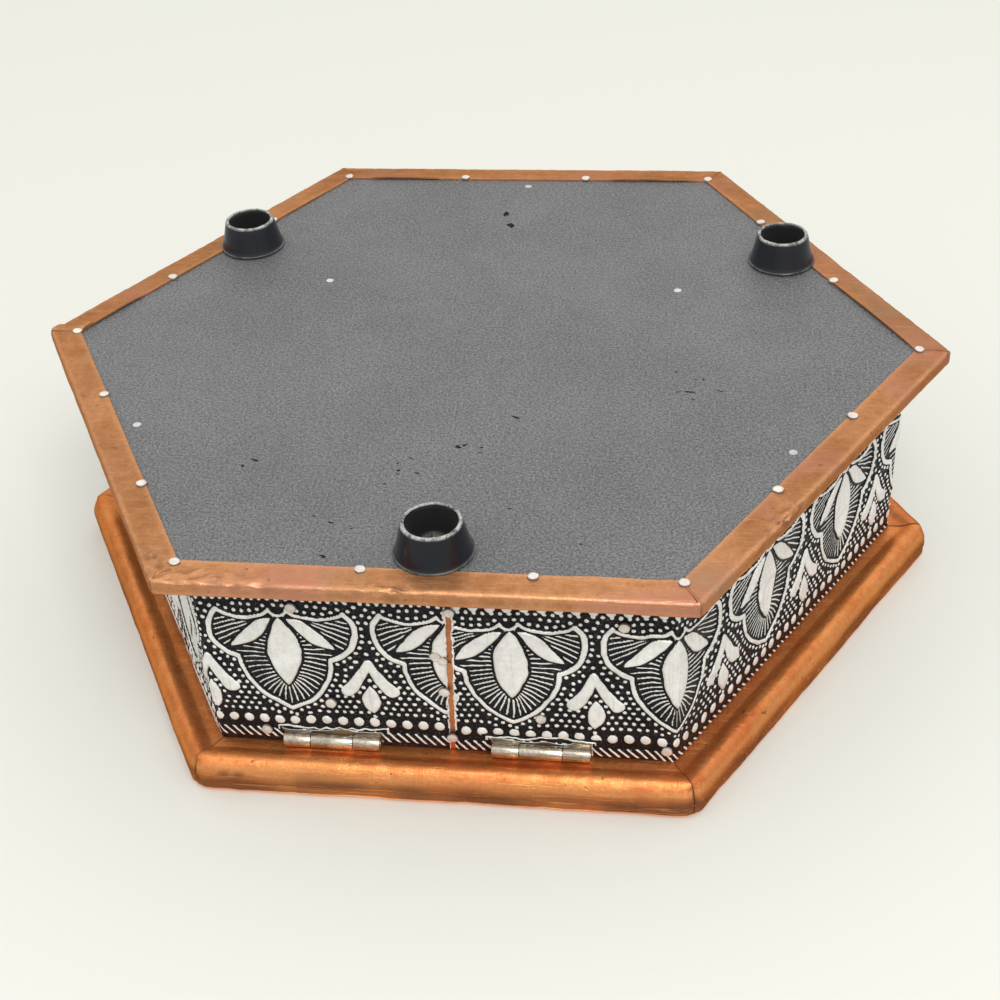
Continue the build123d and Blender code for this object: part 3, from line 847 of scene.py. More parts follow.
def read_tile(tile, x, y):
    """Height and polish at any places, between the grid's own. Outside the tile both are 0."""
    low, grids = tile
    columns, rows = grids[0].shape
    i, j = (x - low[0]) / TILE_STEP, (y - low[1]) / TILE_STEP
    within = (i >= 0) & (j >= 0) & (i < columns - 1) & (j < rows - 1)
    i, j = np.clip(i, 0, columns - 1.001), np.clip(j, 0, rows - 1.001)
    i0, j0 = i.astype(int), j.astype(int)
    return [np.where(within, four_mixed(grid, i0, j0, i0 + 1, j0 + 1, i - i0, j - j0), 0) for grid in grids]


def highest(*layers):
    """The highest of several heights and the brightest of their polishes, each given as (height, polish)."""
    return [np.maximum.reduce(np.broadcast_arrays(*layer)) for layer in zip(*layers)]


print(f"leaves stand {LEAF_HEIGHT} mm proud")

# %% Rows of beads and rope, and the repeat of the wall
REPEAT = 31.8
FIELD_FROM, FIELD_TO = 10.6, 39.9


def bead_row(count, away, pitch):
    """A row of beads: count runs one per bead along the row, and away is the distance from the row."""
    reach = np.hypot(((count + 0.5) % 1 - 0.5) * pitch, away / 1.12)
    return 0.50 * rounded(1.10 - reach, 1.0), step_up(1.00 - reach, -0.1, 0.12)


def rope_row(count, away, pitch):
    """A roped edge of short slanted strokes."""
    reach = np.abs((count - away / pitch * 0.85 + 0.5) % 1 - 0.5) * pitch
    body = step_up(1.35 - np.abs(away), -0.1, 0.35)
    return 0.38 * rounded(0.50 - reach, 0.5) * body, step_up(0.30 - reach, -0.12, 0.12) * body


half = REPEAT / 2
wall_design = design_of(palmette(), [sprig(-half), sprig(half)], (-half, FIELD_FROM), (half, FIELD_TO))
wall_tile = make_tile((-half - 0.5, FIELD_FROM - 1), (half + 0.5, FIELD_TO + 1), wall_design)
print(f"{len(wall_design['dots'])} dots in each repeat, highest {wall_tile[1][0].max():.2f} mm")

# %% [markdown]
# ## Thin shells
#
# A stamped sheet is made as a fine grid of points for its front, and a flat back. The open edge of the grid is
# found as the edges that only one face has, which works for any outline: a plain rectangle, a wall with
# notches cut out for the hinges, or a triangle.


# %% Close a front surface into a thin shell
def open_loops(faces):
    """The loops of edges that only one face has, each in the direction that its face goes round."""
    seen = {}
    for face in faces:
        for a, b in zip(face, face[1:] + face[:1]):
            key = (a, b) if a < b else (b, a)
            seen[key] = None if key in seen else (a, b)
    after = dict(edge for edge in seen.values() if edge)
    loops = []
    while after:
        start, here = next(iter(after.items()))
        loop = [start]
        del after[start]
        while here != start:
            loop.append(here)
            here = after.pop(here)
        loops.append(loop)
    return loops


def closed_shell(front, back, faces):
    """Points and faces of a solid sheet, and for each point the front point that it belongs to."""
    faces = [list(face) for face in faces]
    points, source = [front], [np.arange(len(front))]
    first = len(front)
    for loop in open_loops(faces):
        points.append(back[loop])
        source.append(np.array(loop))
        count = len(loop)
        for k in range(count):
            after = (k + 1) % count
            faces.append([loop[after], loop[k], first + k, first + after])
        faces.append(list(range(first, first + count)))
        first += count
    return np.concatenate(points), faces, np.concatenate(source)


def grid_faces(columns, rows, keep=None):
    index = np.arange(columns * rows).reshape(columns, rows)
    corners = [index[:-1, :-1], index[1:, :-1], index[1:, 1:], index[:-1, 1:]]
    if keep is not None:
        corners = [corner[keep] for corner in corners]
    return np.stack([corner.ravel() for corner in corners], axis=1)


print("the open edge of one square has", len(open_loops([[0, 1, 2, 3]])[0]), "points")

# %% [markdown]
# ## The embossed walls
#
# Each wall is a fine grid of points pushed outwards by the pattern's height. The grid runs round half of each
# corner, so two neighbours meet in the middle of the bend. The pattern counts its repeats along the whole
# strip, from one side of the seam round the box to the other, as one sheet would. It was wrapped a little
# askew: past the first corner it sinks towards the lid and hides the rope.

# %% Where the pattern lies on the strip
# Along the strip in mm, from the middle of the rear wall towards +X, and which repeat has its middle there.
PALMETTE_PLACES = [(14.3, 0), (46.3, 1), (79.6, 2), (111.0, 3), (517.8, 16), (550.1, 17)]
SINK_PLACES = [(41.0, 0.0), (51.0, 1.9), (140.0, 1.9), (300.0, 0.6), (420.0, 0.0)]
BEADS_PER_REPEAT = 10
ROPE_PER_REPEAT = 18
BEAD_ROWS = (9.3, 41.4)
ROPE_ROWS = (6.2, 45.2)


def wall_pattern(strip, depth):
    """Height and polish of the wall sheet at places along the strip and down from the base's face."""
    first = PALMETTE_PLACES[0][0]
    count = np.interp(strip, *np.array(PALMETTE_PLACES, float).T)
    count = np.where(strip < first, (strip - first) / REPEAT, count)
    across = ((count + 0.5) % 1 - 0.5) * REPEAT + hills(strip, depth, (0.28, 5.0, 11), (0.13, 1.5, 12))
    sink = np.interp(strip, *np.array(SINK_PLACES).T)
    down = depth + hills(strip, depth, (0.28, 6.0, 13), (0.13, 1.7, 14)) - sink
    height, polish = highest(
        read_tile(wall_tile, across, down),
        *(bead_row(count * BEADS_PER_REPEAT, down - row, REPEAT / BEADS_PER_REPEAT) for row in BEAD_ROWS),
        *(rope_row(count * ROPE_PER_REPEAT, down - row, REPEAT / ROPE_PER_REPEAT) for row in ROPE_ROWS),
    )
    worn = 1 - 0.5 * step_up(hills(strip, depth, (1.0, 9.0, 15), (0.4, 2.5, 16)), 0.3, 0.8)
    return height * worn, polish * (0.55 + 0.45 * worn)


print(f"beads {REPEAT / BEADS_PER_REPEAT:.2f} mm apart, rope strokes {REPEAT / ROPE_PER_REPEAT:.2f} mm")

# %% [markdown]
# ## Seam, notches and torn edges
#
# On the rear wall the two ends of the sheet meet at a leaning seam, with the bare strip showing between them,
# and the sheet is cut away for the two hinges. Its cut edges are torn, bright and curled, and just above the
# hinges it has split along a wandering line.

# %% The openings of the rear wall
SEAM_AT_RIM = 3.6
SEAM_AT_LID = 1.7
SEAM_HALF = 0.55
SEAM_REACH = 6.5
OPENING_MARGIN = 0.15
OPENING_HEIGHT = 3.4
FINE_STEP = 0.22
PLAIN_STEP = 0.30
LOOKED_AT = ("rear", "rear_right", "rear_left")
wall_half = band_out * TAN30
seam_middle = (SEAM_AT_RIM + SEAM_AT_LID) / 2
opening_from = wall_top - OPENING_HEIGHT - base_face


def rear_openings():
    """The spans along the rear wall that the sheet leaves out, and the depth from which it does."""
    spans = [(seam_middle - SEAM_HALF, seam_middle + SEAM_HALF, 0.0)]
    for hand in ("left", "right"):
        low, high = box_mm(f"hinge_pin_{hand}")
        spans.append((low[0] - OPENING_MARGIN, high[0] + OPENING_MARGIN, opening_from))
    return spans


def fine_steps(values, step):
    """Evenly spaced values that pass through all the given ones."""
    values = sorted(set(np.round(values, 4)))
    runs = [np.linspace(a, b, max(2, int(round((b - a) / step)) + 1))[:-1] for a, b in zip(values, values[1:])]
    return np.concatenate(runs + [[values[-1]]])


def wall_grid(side):
    """A grid of places on a wall, the distance of each from an opening, and which cells stay."""
    openings = rear_openings() if side == "rear" else []
    step = FINE_STEP if side in LOOKED_AT else PLAIN_STEP
    ends = [value for start, end, _ in openings for value in (start, end)]
    starts = [from_depth for _, _, from_depth in openings if from_depth]
    across = fine_steps([-wall_half, wall_half] + ends, step)
    down = fine_steps([band_low[2] - base_face, wall_top - base_face] + starts, step)
    u, depth = np.meshgrid(across, down, indexing="ij")
    cell_u, cell_depth = (u[1:, 1:] + u[:-1, 1:]) / 2, (depth[1:, 1:] + depth[1:, :-1]) / 2
    edge, keep = np.full(u.shape, np.inf), np.ones(cell_u.shape, bool)
    for start, end, from_depth in openings:
        edge = np.minimum(edge, np.maximum(np.maximum(start - u, u - end), from_depth - depth))
        keep &= ~((cell_u > start) & (cell_u < end) & (cell_depth > from_depth))
    return u, depth, edge, keep


def torn_edge(u, depth, edge, at_hinge, above_hinge, height, polish):
    """Height and polish with the torn edges of the openings and the split above the hinges."""
    wander = hills(u, depth * 0, (0.40, 1.3, 26), (0.40, 4.3, 27))
    split = bell((edge - 0.95 - wander) / (0.22 + 0.10 * smooth_noise(u, depth, 0.9, 28)))
    beside_hinge = above_hinge & (edge < 1.7)
    polish = np.where(beside_hinge, split, polish)
    height = np.where(beside_hinge, 0.08 + 0.3 * split, height)
    torn_width = np.where(above_hinge, 0.16, np.where(at_hinge, 0.0, 0.30))
    torn = edge < torn_width * (1 + 0.9 * smooth_noise(u, depth, 0.8, 23))
    curl = np.where(above_hinge, 0.12, np.where(at_hinge, 0.0, 0.10)) * np.exp(-np.minimum(edge, 9.0) / 0.45)
    height = np.where(edge < 0.6, height * np.clip(edge / 0.6, 0.2, 1), height) + curl
    return height, np.where(torn, np.maximum(polish, 0.9), polish)


print("openings of the rear wall:", [(round(start, 1), round(end, 1)) for start, end, _ in rear_openings()])

# %% The six embossed walls
WALL_ORDER = ["rear", "rear_right", "front_right", "front", "front_left", "rear_left"]
LEFT_PIECE_LIFT = 0.7
CORNER_RADIUS = 1.6
GROUND_SINK = 0.30
BACK_GAP = 0.02


def embossed_wall(side):
    u, depth, edge, keep = wall_grid(side)
    at_hinge = depth > opening_from - 2.0
    above_hinge = at_hinge & (depth < opening_from + 0.05) & (np.abs(u - seam_middle) > 3)
    on_left = (u < seam_middle) if side == "rear" else np.full(u.shape, side == "rear_left")
    if side == "rear":
        share = (depth + base_face - rim_top) / (wall_top - rim_top)
        lean = SEAM_AT_RIM + (SEAM_AT_LID - SEAM_AT_RIM) * share - seam_middle
        u = u + lean * np.clip(1 - np.abs(u - seam_middle) / SEAM_REACH, 0, 1)
    strip = u + WALL_ORDER.index(side) * 2 * wall_half + np.where(on_left & (side == "rear"), 12 * wall_half, 0)
    pattern = wall_pattern(strip, depth + LEFT_PIECE_LIFT * on_left)
    height, polish = torn_edge(u, depth, edge, at_hinge, above_hinge, *pattern)

    tangent = CORNER_RADIUS * TAN30
    bend = np.clip((np.abs(u) - (wall_half - tangent)) / tangent, 0, 1) * math.radians(30)
    waves = hills(strip, depth, (0.10, 14.0, 21), (0.03, 3.0, 22)) * np.clip(1 - bend * 2, 0, 1)
    radius = CORNER_RADIUS + height - GROUND_SINK + waves
    ragged = np.exp(-np.minimum(edge, 9.0) / 0.3) * smooth_noise(u, depth, 0.7, 24)
    sag = np.exp(-np.minimum(edge, 9.0) / 0.5) * above_hinge * smooth_noise(u, depth * 0, 3.4, 25)
    front_u = np.sign(u) * (np.clip(np.abs(u), 0, wall_half - tangent) + radius * np.sin(bend)) + 0.16 * ragged
    front_out = band_out - CORNER_RADIUS + radius * np.cos(bend)
    level = np.clip(base_face + depth + 0.08 * ragged + 0.65 * sag, band_low[2], wall_top)
    back_out = wood_out + BACK_GAP
    back_u = np.clip(front_u, -back_out * TAN30, back_out * TAN30)

    used, faces = np.unique(grid_faces(*u.shape, keep), return_inverse=True)
    front = side_points(side, -front_u, front_out, level).reshape(-1, 3)[used]
    back = side_points(side, -back_u, back_out, level).reshape(-1, 3)[used]
    points, faces, source = closed_shell(front, back, faces.reshape(-1, 4).tolist())
    marks = {"polish": polish.reshape(-1)[used][source]}
    name = f"embossed_wall_{side}"
    make_piece(name, points, faces, "embossed_sheet", "box", ["embossed_band"], marks=marks, sharp_deg=75)
    print(name, len(faces), "faces")


for side in WALL_ORDER:
    embossed_wall(side)

# %% [markdown]
# ## The embossed top of the lid
#
# The photograph shows the box on its lid, so the lid's top is a guess: the same sheet with the same motifs,
# larger, one palmette to each side with a sprig at each corner. One triangular sector is worked out and used
# six times, each time with its own small distortions. Its points form a triangular net, which keeps them
# evenly spaced from the middle to the edge.

# %% One sector of the lid's design
LID_SCALE = 1.5
PALMETTE_OUT = 61.0
SPRIG_OUT = 48.0
INNER_RING = 21.5
INNER_LEAF = (5.0, 10.0, 19.0)
LID_ROPE_OUT = 66.9
panel_low, panel_high = box_mm("lid_panel")
panel_out = panel_high[1]


def to_design(along, out):
    """From places on a sector, in mm, to the units that the motifs are drawn in."""
    return along / LID_SCALE, (PALMETTE_OUT - out) / LID_SCALE + RING_MIDDLE[1]


def turned_to_corner(points, hand):
    """A sprig's own points moved to a corner of the sector, pointing at the middle of the lid."""
    reach = SPRIG_OUT + (points[:, 1] - SPRIG_ARM[0][1]) * LID_SCALE
    beside = points[:, 0] * LID_SCALE
    along = hand * (reach * 0.5 + beside * COS30)
    return np.stack(to_design(along, reach * COS30 - beside * 0.5), axis=1)


def round_middle(turns, radii):
    """Points at angles and distances from the middle of the lid."""
    return np.stack(to_design(radii * np.sin(turns), radii * np.cos(turns)), axis=1)


def lid_design():
    one, plain = palmette(), sprig(0.0)
    sprigs = []
    for hand in (-1, 1):
        one["leaves"].append(leaf_outline(round_middle(hand * math.radians(15), np.array(INNER_LEAF)), 1.35, 0.8))
        arms = [turned_to_corner(arm, hand) for arm in plain["arms"]]
        sprigs.append({"arms": arms, "drop": turned_to_corner(plain["drop"], hand)})
    one["ridges"].append((round_middle(np.radians(np.linspace(-31, 31, 15)), INNER_RING), 0.4))

    def allowed(x, y):
        out = PALMETTE_OUT - (y - RING_MIDDLE[1]) * LID_SCALE
        return (np.abs(x) * LID_SCALE < out * TAN30 - 1.2) & (out < LID_ROPE_OUT - 3.0) & (out > INNER_RING + 1.0)

    return design_of(one, sprigs, to_design(-45.0, LID_ROPE_OUT), to_design(45.0, 0.0), allowed)


sector_design = lid_design()
lid_tile = make_tile(to_design(-44.0, panel_out + 1), to_design(44.0, -1.0), sector_design)
print(len(sector_design["dots"]), "dots in each sector of the lid")

# %% The six pieces of the lid's top
SECTOR_ROWS = 215
LID_BEADS_OUT, LID_BEAD_PITCH, LID_ROPE_PITCH = 70.6, 3.2, 2.0
LID_SINK = 0.22


def sector_net(rows):
    """A triangular net: points as (along, out) from 0 to 1, and its faces."""
    points = [(j / rows - k / rows / 2, k / rows) for k in range(rows + 1) for j in range(k + 1)]
    start = [k * (k + 1) // 2 for k in range(rows + 2)]
    faces = []
    for k in range(rows):
        for j in range(k + 1):
            faces.append([start[k] + j, start[k + 1] + j, start[k + 1] + j + 1])
            if j < k:
                faces.append([start[k] + j, start[k + 1] + j + 1, start[k] + j + 1])
    return np.array(points), faces


net, net_faces = sector_net(SECTOR_ROWS)
along, out = net[:, 0] * 2 * TAN30 * panel_out, net[:, 1] * panel_out
for side in SIDES:
    x, y, _ = side_points(side, along, out, 0.0).T
    moved_along = along + hills(x, y, (0.22, 7.0, 31), (0.08, 2.0, 32))
    moved_out = out + hills(x, y, (0.22, 7.0, 33), (0.08, 2.0, 34))
    from_middle = np.hypot(x, y)
    height, polish = highest(
        read_tile(lid_tile, *to_design(moved_along, moved_out)),
        bead_row(moved_along / LID_BEAD_PITCH, moved_out - LID_BEADS_OUT, LID_BEAD_PITCH),
        rope_row(moved_along / LID_ROPE_PITCH, moved_out - LID_ROPE_OUT, LID_ROPE_PITCH),
        (0.5 * rounded(3.4 - from_middle, 2.0), step_up(3.2 - from_middle, -0.1, 0.1)),
    )
    level = panel_high[2] - LID_SINK + 0.9 * height + 0.08 * smooth_noise(x, y, 16.0, 35)
    back = np.stack([x, y, np.full(x.shape, panel_low[2])], axis=1)
    points, faces, source = closed_shell(np.stack([x, y, level], axis=1), back, net_faces)
    make_piece(
        f"embossed_lid_{side}", points, [face[::-1] for face in faces], "embossed_sheet", "lid", ["lid_panel"],
        marks={"polish": polish[source]}, sharp_deg=75,
    )
print(f"lid: {len(net_faces)} faces in each sector")

# %% [markdown]
# ## Copper folded along the sides
#
# The base strips and the lid moulding are the same kind of thing: one cross-section, run along a side, cut off
# at a slant so that it meets its neighbour at the corner. The section is drawn once and swept in many short
# steps, and each step is pushed in or out a little by soft noise and by a few dents. A perfect extrusion would
# look machined, and hand-folded copper never is.

# %% How dark each side's copper is, and where it is lifted, crumpled or spotted
# How much darker and duller the copper of each side is made.
SIDE_DARKENING = {
    "rear": 0.04, "rear_left": 0.26, "front_left": 0.36, "front": 0.34, "front_right": 0.38, "rear_right": 0.16,
}
# Where the inner edge of a strip has come away from the board, as (from, to) along the side.
LIFTED = {"front": [(-41, -22), (22, 44)], "front_right": [(12, 45)], "front_left": [(-46, -26)]}
# Where a strip is crumpled, as (along, around, spread).
CRUMPLED = {
    "rear": [(45, 4.0, 4.0), (38, 4.5, 3.5), (32, 5.5, 4.0), (6, 6.0, 5.0)],
    "rear_left": [(-45, 4.0, 4.5)],
    "rear_right": [(20, 6.3, 8.0)],
}
# Dark spots on the moulding, as (along, around, size).
SPOTTED = {
    "rear": [(44.0, 11.6, 0.55), (41.0, 11.8, 0.4), (43.5, 14.2, 1.3), (40.5, 14.4, 1.2), (-13.0, 12.0, 0.4)],
    "rear_right": [(-30.0, 11.5, 0.5), (4.0, 12.5, 0.4), (26.0, 11.0, 0.5)],
}
LIFT = 0.42
CRUMPLE = 0.95
STRIP_WIDTH = 6.4


def knocks(side, along, around, seed, wobble, dents, is_strip):
    """How far each place is pushed out, the painted highlight on crease ridges, and the painted shade in crease
    valleys plus the dark spots.
    """
    push = wobble * hills(along, around * 1.5, (0.50, 11.0, seed))
    push += wobble * hills(along, around, (0.32, 4.0, seed + 1), (0.18, 1.7, seed + 2))
    random = np.random.default_rng(seed + 3)
    for _ in range(dents):
        at, up = random.uniform(-42, 42), random.uniform(0, around.max())
        wide, deep = random.uniform(1.2, 3.2), random.uniform(0.05, 0.16)
        push -= deep * bell(np.hypot((along - at) / wide, (around - up) / (0.6 * wide)))
    ridges, crease_shade_and_spots = np.zeros(along.shape), np.zeros(along.shape)
    if not is_strip:
        for at, up, size in SPOTTED.get(side, []):
            crease_shade_and_spots = np.maximum(crease_shade_and_spots, bell((np.hypot(along - at, (around - up) * 1.6) / size) ** 2))
        return push, ridges, crease_shade_and_spots
    for start, end in LIFTED.get(side, []):
        hump = np.sin(math.pi * np.clip((along - start) / (end - start), 0, 1)) ** 0.4
        push += LIFT * hump * np.exp(-around / 1.9)
    for at, up, spread in CRUMPLED.get(side, []):
        near = bell(np.hypot((along - at) / spread, (around - up) / 2.2))
        creases = np.abs(smooth_noise(along * 0.7 + around, around * 1.3 - along * 0.6, 1.9, seed + 6))
        push += CRUMPLE * near * (0.30 - creases)
        # Each crease's ridge gets a painted highlight and its valley painted shade.
        ridges = np.maximum(ridges, near * bell(creases / 0.14))
        crease_shade_and_spots = np.maximum(crease_shade_and_spots, near * step_up(creases, 0.35, 0.7))
    push += 0.07 * bell((around - STRIP_WIDTH) / 0.8) * smooth_noise(along, around, 0.7, seed + 7)
    return push, ridges, crease_shade_and_spots


print("crumpled places on the strips:", sum(len(places) for places in CRUMPLED.values()))

# %% Sweep a sheet-metal section along a side
COPPER = 0.4
SECTION_STEP = 0.6
CORNER_BLUNT = {"box": 0.10, "lid": 0.75}
SIDE_OF_TURN = {turn: side for side, turn in SIDES.items()}
TAB_STEPS = 5
STATIONS = np.concatenate(
    [np.linspace(-1, -0.96, 9)[:-1], np.linspace(-0.96, 0.96, 150), np.linspace(0.96, 1, 9)[1:]]
)


def even_line(points, step):
    """The same line with points no further apart than a step, and its own corners kept."""
    line = [points[0]]
    for a, b in zip(points, points[1:]):
        count = max(1, int(math.hypot(b[0] - a[0], b[1] - a[1]) / step))
        line += [(a[0] + (b[0] - a[0]) * k / count, a[1] + (b[1] - a[1]) * k / count) for k in range(1, count + 1)]
    return np.array(line)


def both_ways(values):
    """Values of the outer face followed by the same values back along the inner face."""
    return np.concatenate([values, values[..., ::-1]], axis=-1)


def folded_copper(name, side, section, slot, body, node, wobble, dents, gap, highlight_and_wear_lines, stain_and_shade_of, tab=None):
    """A strip of copper with the given outer section of (out, level), mitred at both ends.

    A tab of (length on top, length at the side, lift) lets the strip go on past the corner and lie over the
    start of its neighbour.
    """
    section = even_line(section, SECTION_STEP)
    outs, levels = section.T
    run, reach = along_line(section), length_so_far(section)
    normal_out, normal_up = run[:, 1], -run[:, 0]
    seed = 100 + 10 * list(SIDES).index(side) + (5 if body == "lid" else 0)
    share, around = np.meshgrid(STATIONS, reach, indexing="ij")
    along = share * (outs * TAN30 - (np.where(share > 0, 0.0, gap) if tab else gap))
    push, ridges, crease_shade_and_spots = knocks(side, along, around, seed, wobble, dents, bool(tab))

    from_end = (1 - np.abs(share)) * outs * TAN30
    blunted = CORNER_BLUNT[body] * bell(from_end / 1.3) * step_up(outs, rim_out - 2.0, rim_out)
    outer_out, outer_level = outs + normal_out * push - blunted, levels + normal_up * push
    out = np.concatenate([outer_out, (outer_out - normal_out * COPPER)[:, ::-1]], axis=1)
    level = np.concatenate([outer_level, (outer_level - normal_up * COPPER)[:, ::-1]], axis=1)
    at = share[:, :1]
    points = side_points(side, at * (out * TAN30 - (np.where(at > 0, 0.0, gap) if tab else gap)), out, level)
    if tab:
        past = np.linspace(0, 1, TAB_STEPS + 1)[1:, None]
        both_reach = both_ways(reach)
        lift = tab[2] * np.minimum(1, past * 3)
        edge = tab[0] + (tab[1] - tab[0]) * step_up(both_reach, STRIP_WIDTH - 0.6, STRIP_WIDTH + 0.5)
        edge = edge * (1 + 0.35 * smooth_noise(both_reach, 0, 1.9, seed + 8))
        tab_out, tab_level = out[-1:] + both_ways(normal_out) * lift, level[-1:] + both_ways(normal_up) * lift
        neighbour = SIDE_OF_TURN[(SIDES[side] + 60) % 360]
        points = np.concatenate([points, side_points(neighbour, past * edge - tab_out * TAN30, tab_out, tab_level)])

    # Painted highlight on the crease ridges, and bright lines along the section that are partly rubbed wear, partly
    # painted highlight on the folds and the roll.
    bright = ridges
    for place in highlight_and_wear_lines:
        bright = np.maximum(bright, np.exp(-((reach - place * reach[-1]) ** 2) / (0.35 if tab else 0.7)))
    # Painted shade along the mitred ends, where the pieces meet.
    mitre_shade = (0.45 + 0.5 * step_up(outs, rim_out - 1.0, rim_out)) * np.exp(-from_end / 0.2)
    patchy = 0.85 + 0.3 * smooth_noise(along, around * 2, 6.0, seed + 5)
    # Dirt and tarnish together with painted shade: at the mitres, in crease valleys and on the roll's lower side.
    stain_and_shade = np.clip((stain_and_shade_of(outs, levels) + SIDE_DARKENING[side]) * patchy + mitre_shade + 0.5 * crease_shade_and_spots, 0, 1)
    marks = {"rubbed": bright, "stain_and_shade": stain_and_shade, "run": along, "around": around}
    marks = {label: both_ways(values) for label, values in marks.items()}
    if tab:
        marks = {label: np.concatenate([values] + [values[-9:-8]] * TAB_STEPS) for label, values in marks.items()}
    faces = tube_faces(len(points), points.shape[1], flip=True)
    make_piece(name, points, faces, slot, body, [node], marks=marks, sharp_deg=50)


def arc_points(middle, radius, start_deg, end_deg, steps):
    turns = np.radians(np.linspace(start_deg, end_deg, steps))
    return [(middle[0] + radius * math.cos(t), middle[1] + radius * math.sin(t)) for t in turns]


print(len(STATIONS), "steps along each side")

# %% The strips folded round the base
STRIP_BEND = 0.8
STRIP_TABS = {side: (0.3, 1.8, 0.10) for side in SIDES} | {"rear_left": (3.2, 3.2, 0.65)}


def base_section():
    """From the lip under the board, round the edge of the board, to the wall above it."""
    low, high, bend_out = base_face + 0.02, rim_top - 0.02, rim_out - STRIP_BEND
    lower = arc_points((bend_out, low + STRIP_BEND), STRIP_BEND, -90, 0, 6)
    upper = arc_points((bend_out, high - STRIP_BEND), STRIP_BEND, 0, 90, 6)
    return [(rim_out - STRIP_WIDTH, low)] + lower + upper + [(band_out + 0.25, high)]


def strip_darkening_at_wall(out, level):
    """Darker in the angle between the strip and the wall."""
    return 0.5 * step_up(-np.hypot(out - band_out, level - rim_top), -1.6, -0.3)


for side in SIDES:
    folded_copper(
        f"folded_strip_{side}", side, base_section(), "base_copper", "box", f"base_strip_{side}",
        wobble=0.13, dents=12, gap=0.05, highlight_and_wear_lines=(0.0, 0.375, 0.567), stain_and_shade_of=strip_darkening_at_wall, tab=STRIP_TABS[side],
    )
print(f"the base strips' section is {length_so_far(np.array(base_section()))[-1]:.1f} mm long")

# %% [markdown]
# ## The lid's moulding and the board inside it
#
# The moulding is the boldest shape of the box: from the gap over the wall it runs through a shallow channel,
# swells into a fat roll, and ends in a crease and a rounded edge. A bevelled box couldn't give that, so the
# section is drawn point by point and swept like the strips. The roll is rounder than the construction model's,
# so the board that it is wrapped round has to be rounded too, or its corner would come through the copper.

# %% The moulding rolled round the lid
CHANNEL_WIDTH = 3.0
CHANNEL_LIP = 0.8
ROLL_CREST = 4.9
ROLL_DROP = 0.85
ROLL_DEPTH = 4.6
LID_ROUND = 1.1
CREASE = 0.28
LID_LAP = 12.0


def moulding_section():
    """From the inner end over the wall, through the channel, round the roll, past a crease, to the lid's top."""
    start, crest = band_out + CHANNEL_WIDTH - CHANNEL_LIP, band_out + ROLL_CREST
    line = [(wall_back + 1.5, lid_under), (start, lid_under)]
    for t in np.linspace(0, 1, 7)[:-1]:
        line.append((start + (crest - start) * t, lid_under - ROLL_DROP * step_up(t, 0.0, 1.0) ** 0.8))
    roll_level = lid_under - ROLL_DROP + ROLL_DEPTH
    for turn in np.radians(np.linspace(-90, 0, 16)):
        line.append((crest + (lid_out - crest) * math.cos(turn), roll_level + ROLL_DEPTH * math.sin(turn)))
    crease = roll_level + 0.9
    line += [(lid_out - 0.06, crease - 0.4), (lid_out - CREASE, crease), (lid_out - 0.1, crease + 0.45)]
    line += arc_points((lid_out - 0.1 - LID_ROUND, lid_top - LID_ROUND), LID_ROUND, 0, 90, 8)
    return line + [(lid_out - LID_LAP, lid_top)]


def moulding_shade_and_tarnish(out, level):
    """Lower side of the roll: tarnish and painted shade where it rests on a floor; the channel darker by the wall."""
    low_side = step_up(level, lid_under + 1.0, lid_under + 3.8)
    return np.where(level > lid_top - 0.1, 0.1, low_side) + 0.15 * (np.abs(out - band_out) < 0.5)


for side in SIDES:
    folded_copper(
        f"rolled_moulding_{side}", side, moulding_section(), "lid_copper", "lid", f"lid_edge_{side}",
        wobble=0.23, dents=22, gap=0.07, highlight_and_wear_lines=(0.44,), stain_and_shade_of=moulding_shade_and_tarnish,
    )
print(f"the moulding's section is {length_so_far(np.array(moulding_section()))[-1]:.1f} mm long")

# %% The board inside the lid, rounded to carry the roll
BOARD_SET_IN = 2.2
BOARD_MIDDLE = 2.0


def six_sided(profile):
    """Points and faces of a six-sided solid from a profile of (out, level) that starts and ends at the middle."""
    corners = [math.radians(30 + turn) for turn in SIDES.values()]
    points = [(out / COS30 * math.cos(t), out / COS30 * math.sin(t), level) for out, level in profile for t in corners]
    return points, tube_faces(len(profile), 6)


under, over = box_mm("lid_pad")[1][2], box_mm("lid_panel")[0][2]
edge_out = lid_out - COPPER - BOARD_SET_IN
points, faces = six_sided([
    (BOARD_MIDDLE, under), (edge_out - 2.6, under + 0.05), (edge_out - 0.8, under + 1.2), (edge_out, under + 3.2),
    (edge_out, over - 0.8), (edge_out - 0.8, over), (BOARD_MIDDLE, over),
])
make_piece("shaped_lid_board", points, faces, "board_wood", "lid", ["lid_board"], smooth=False)
print(f"the lid's board is {over - under:.1f} mm thick")

# %% [markdown]
# ## Tacks
#
# The tacks of the construction model sit in their true places but are all alike. Each pattern is taken apart
# into its tacks by their distance from one another, and every tack gets a head of its own: nearly flat, a
# little out of round, a little tilted, as a hammer leaves it.

# %% Hammered tack heads
TACK_RADIUS = 1.12
TACK_REACH = 2.9
TACK_SEGMENTS = 14
TACK_RINGS = [(1.0, -0.25), (1.0, 0.16), (0.90, 0.27), (0.62, 0.30), (0.25, 0.36)]
# The rings of each head, from the rim in: the rim is painted dark, a painted shade where the head meets the surface.
TACK_RIM_SHADE = [1.0, 0.9, 0.1, 0.0, 0.0]


def tack_middles(node):
    """The middle of each tack of a pattern, in mm."""
    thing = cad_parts[node]
    places = np.array([thing.matrix_world @ vertex.co for vertex in thing.data.vertices]) / MM
    while len(places):
        near = np.linalg.norm(places - places[0], axis=1) < TACK_REACH
        yield (places[near].min(axis=0) + places[near].max(axis=0)) / 2
        places = places[~near]


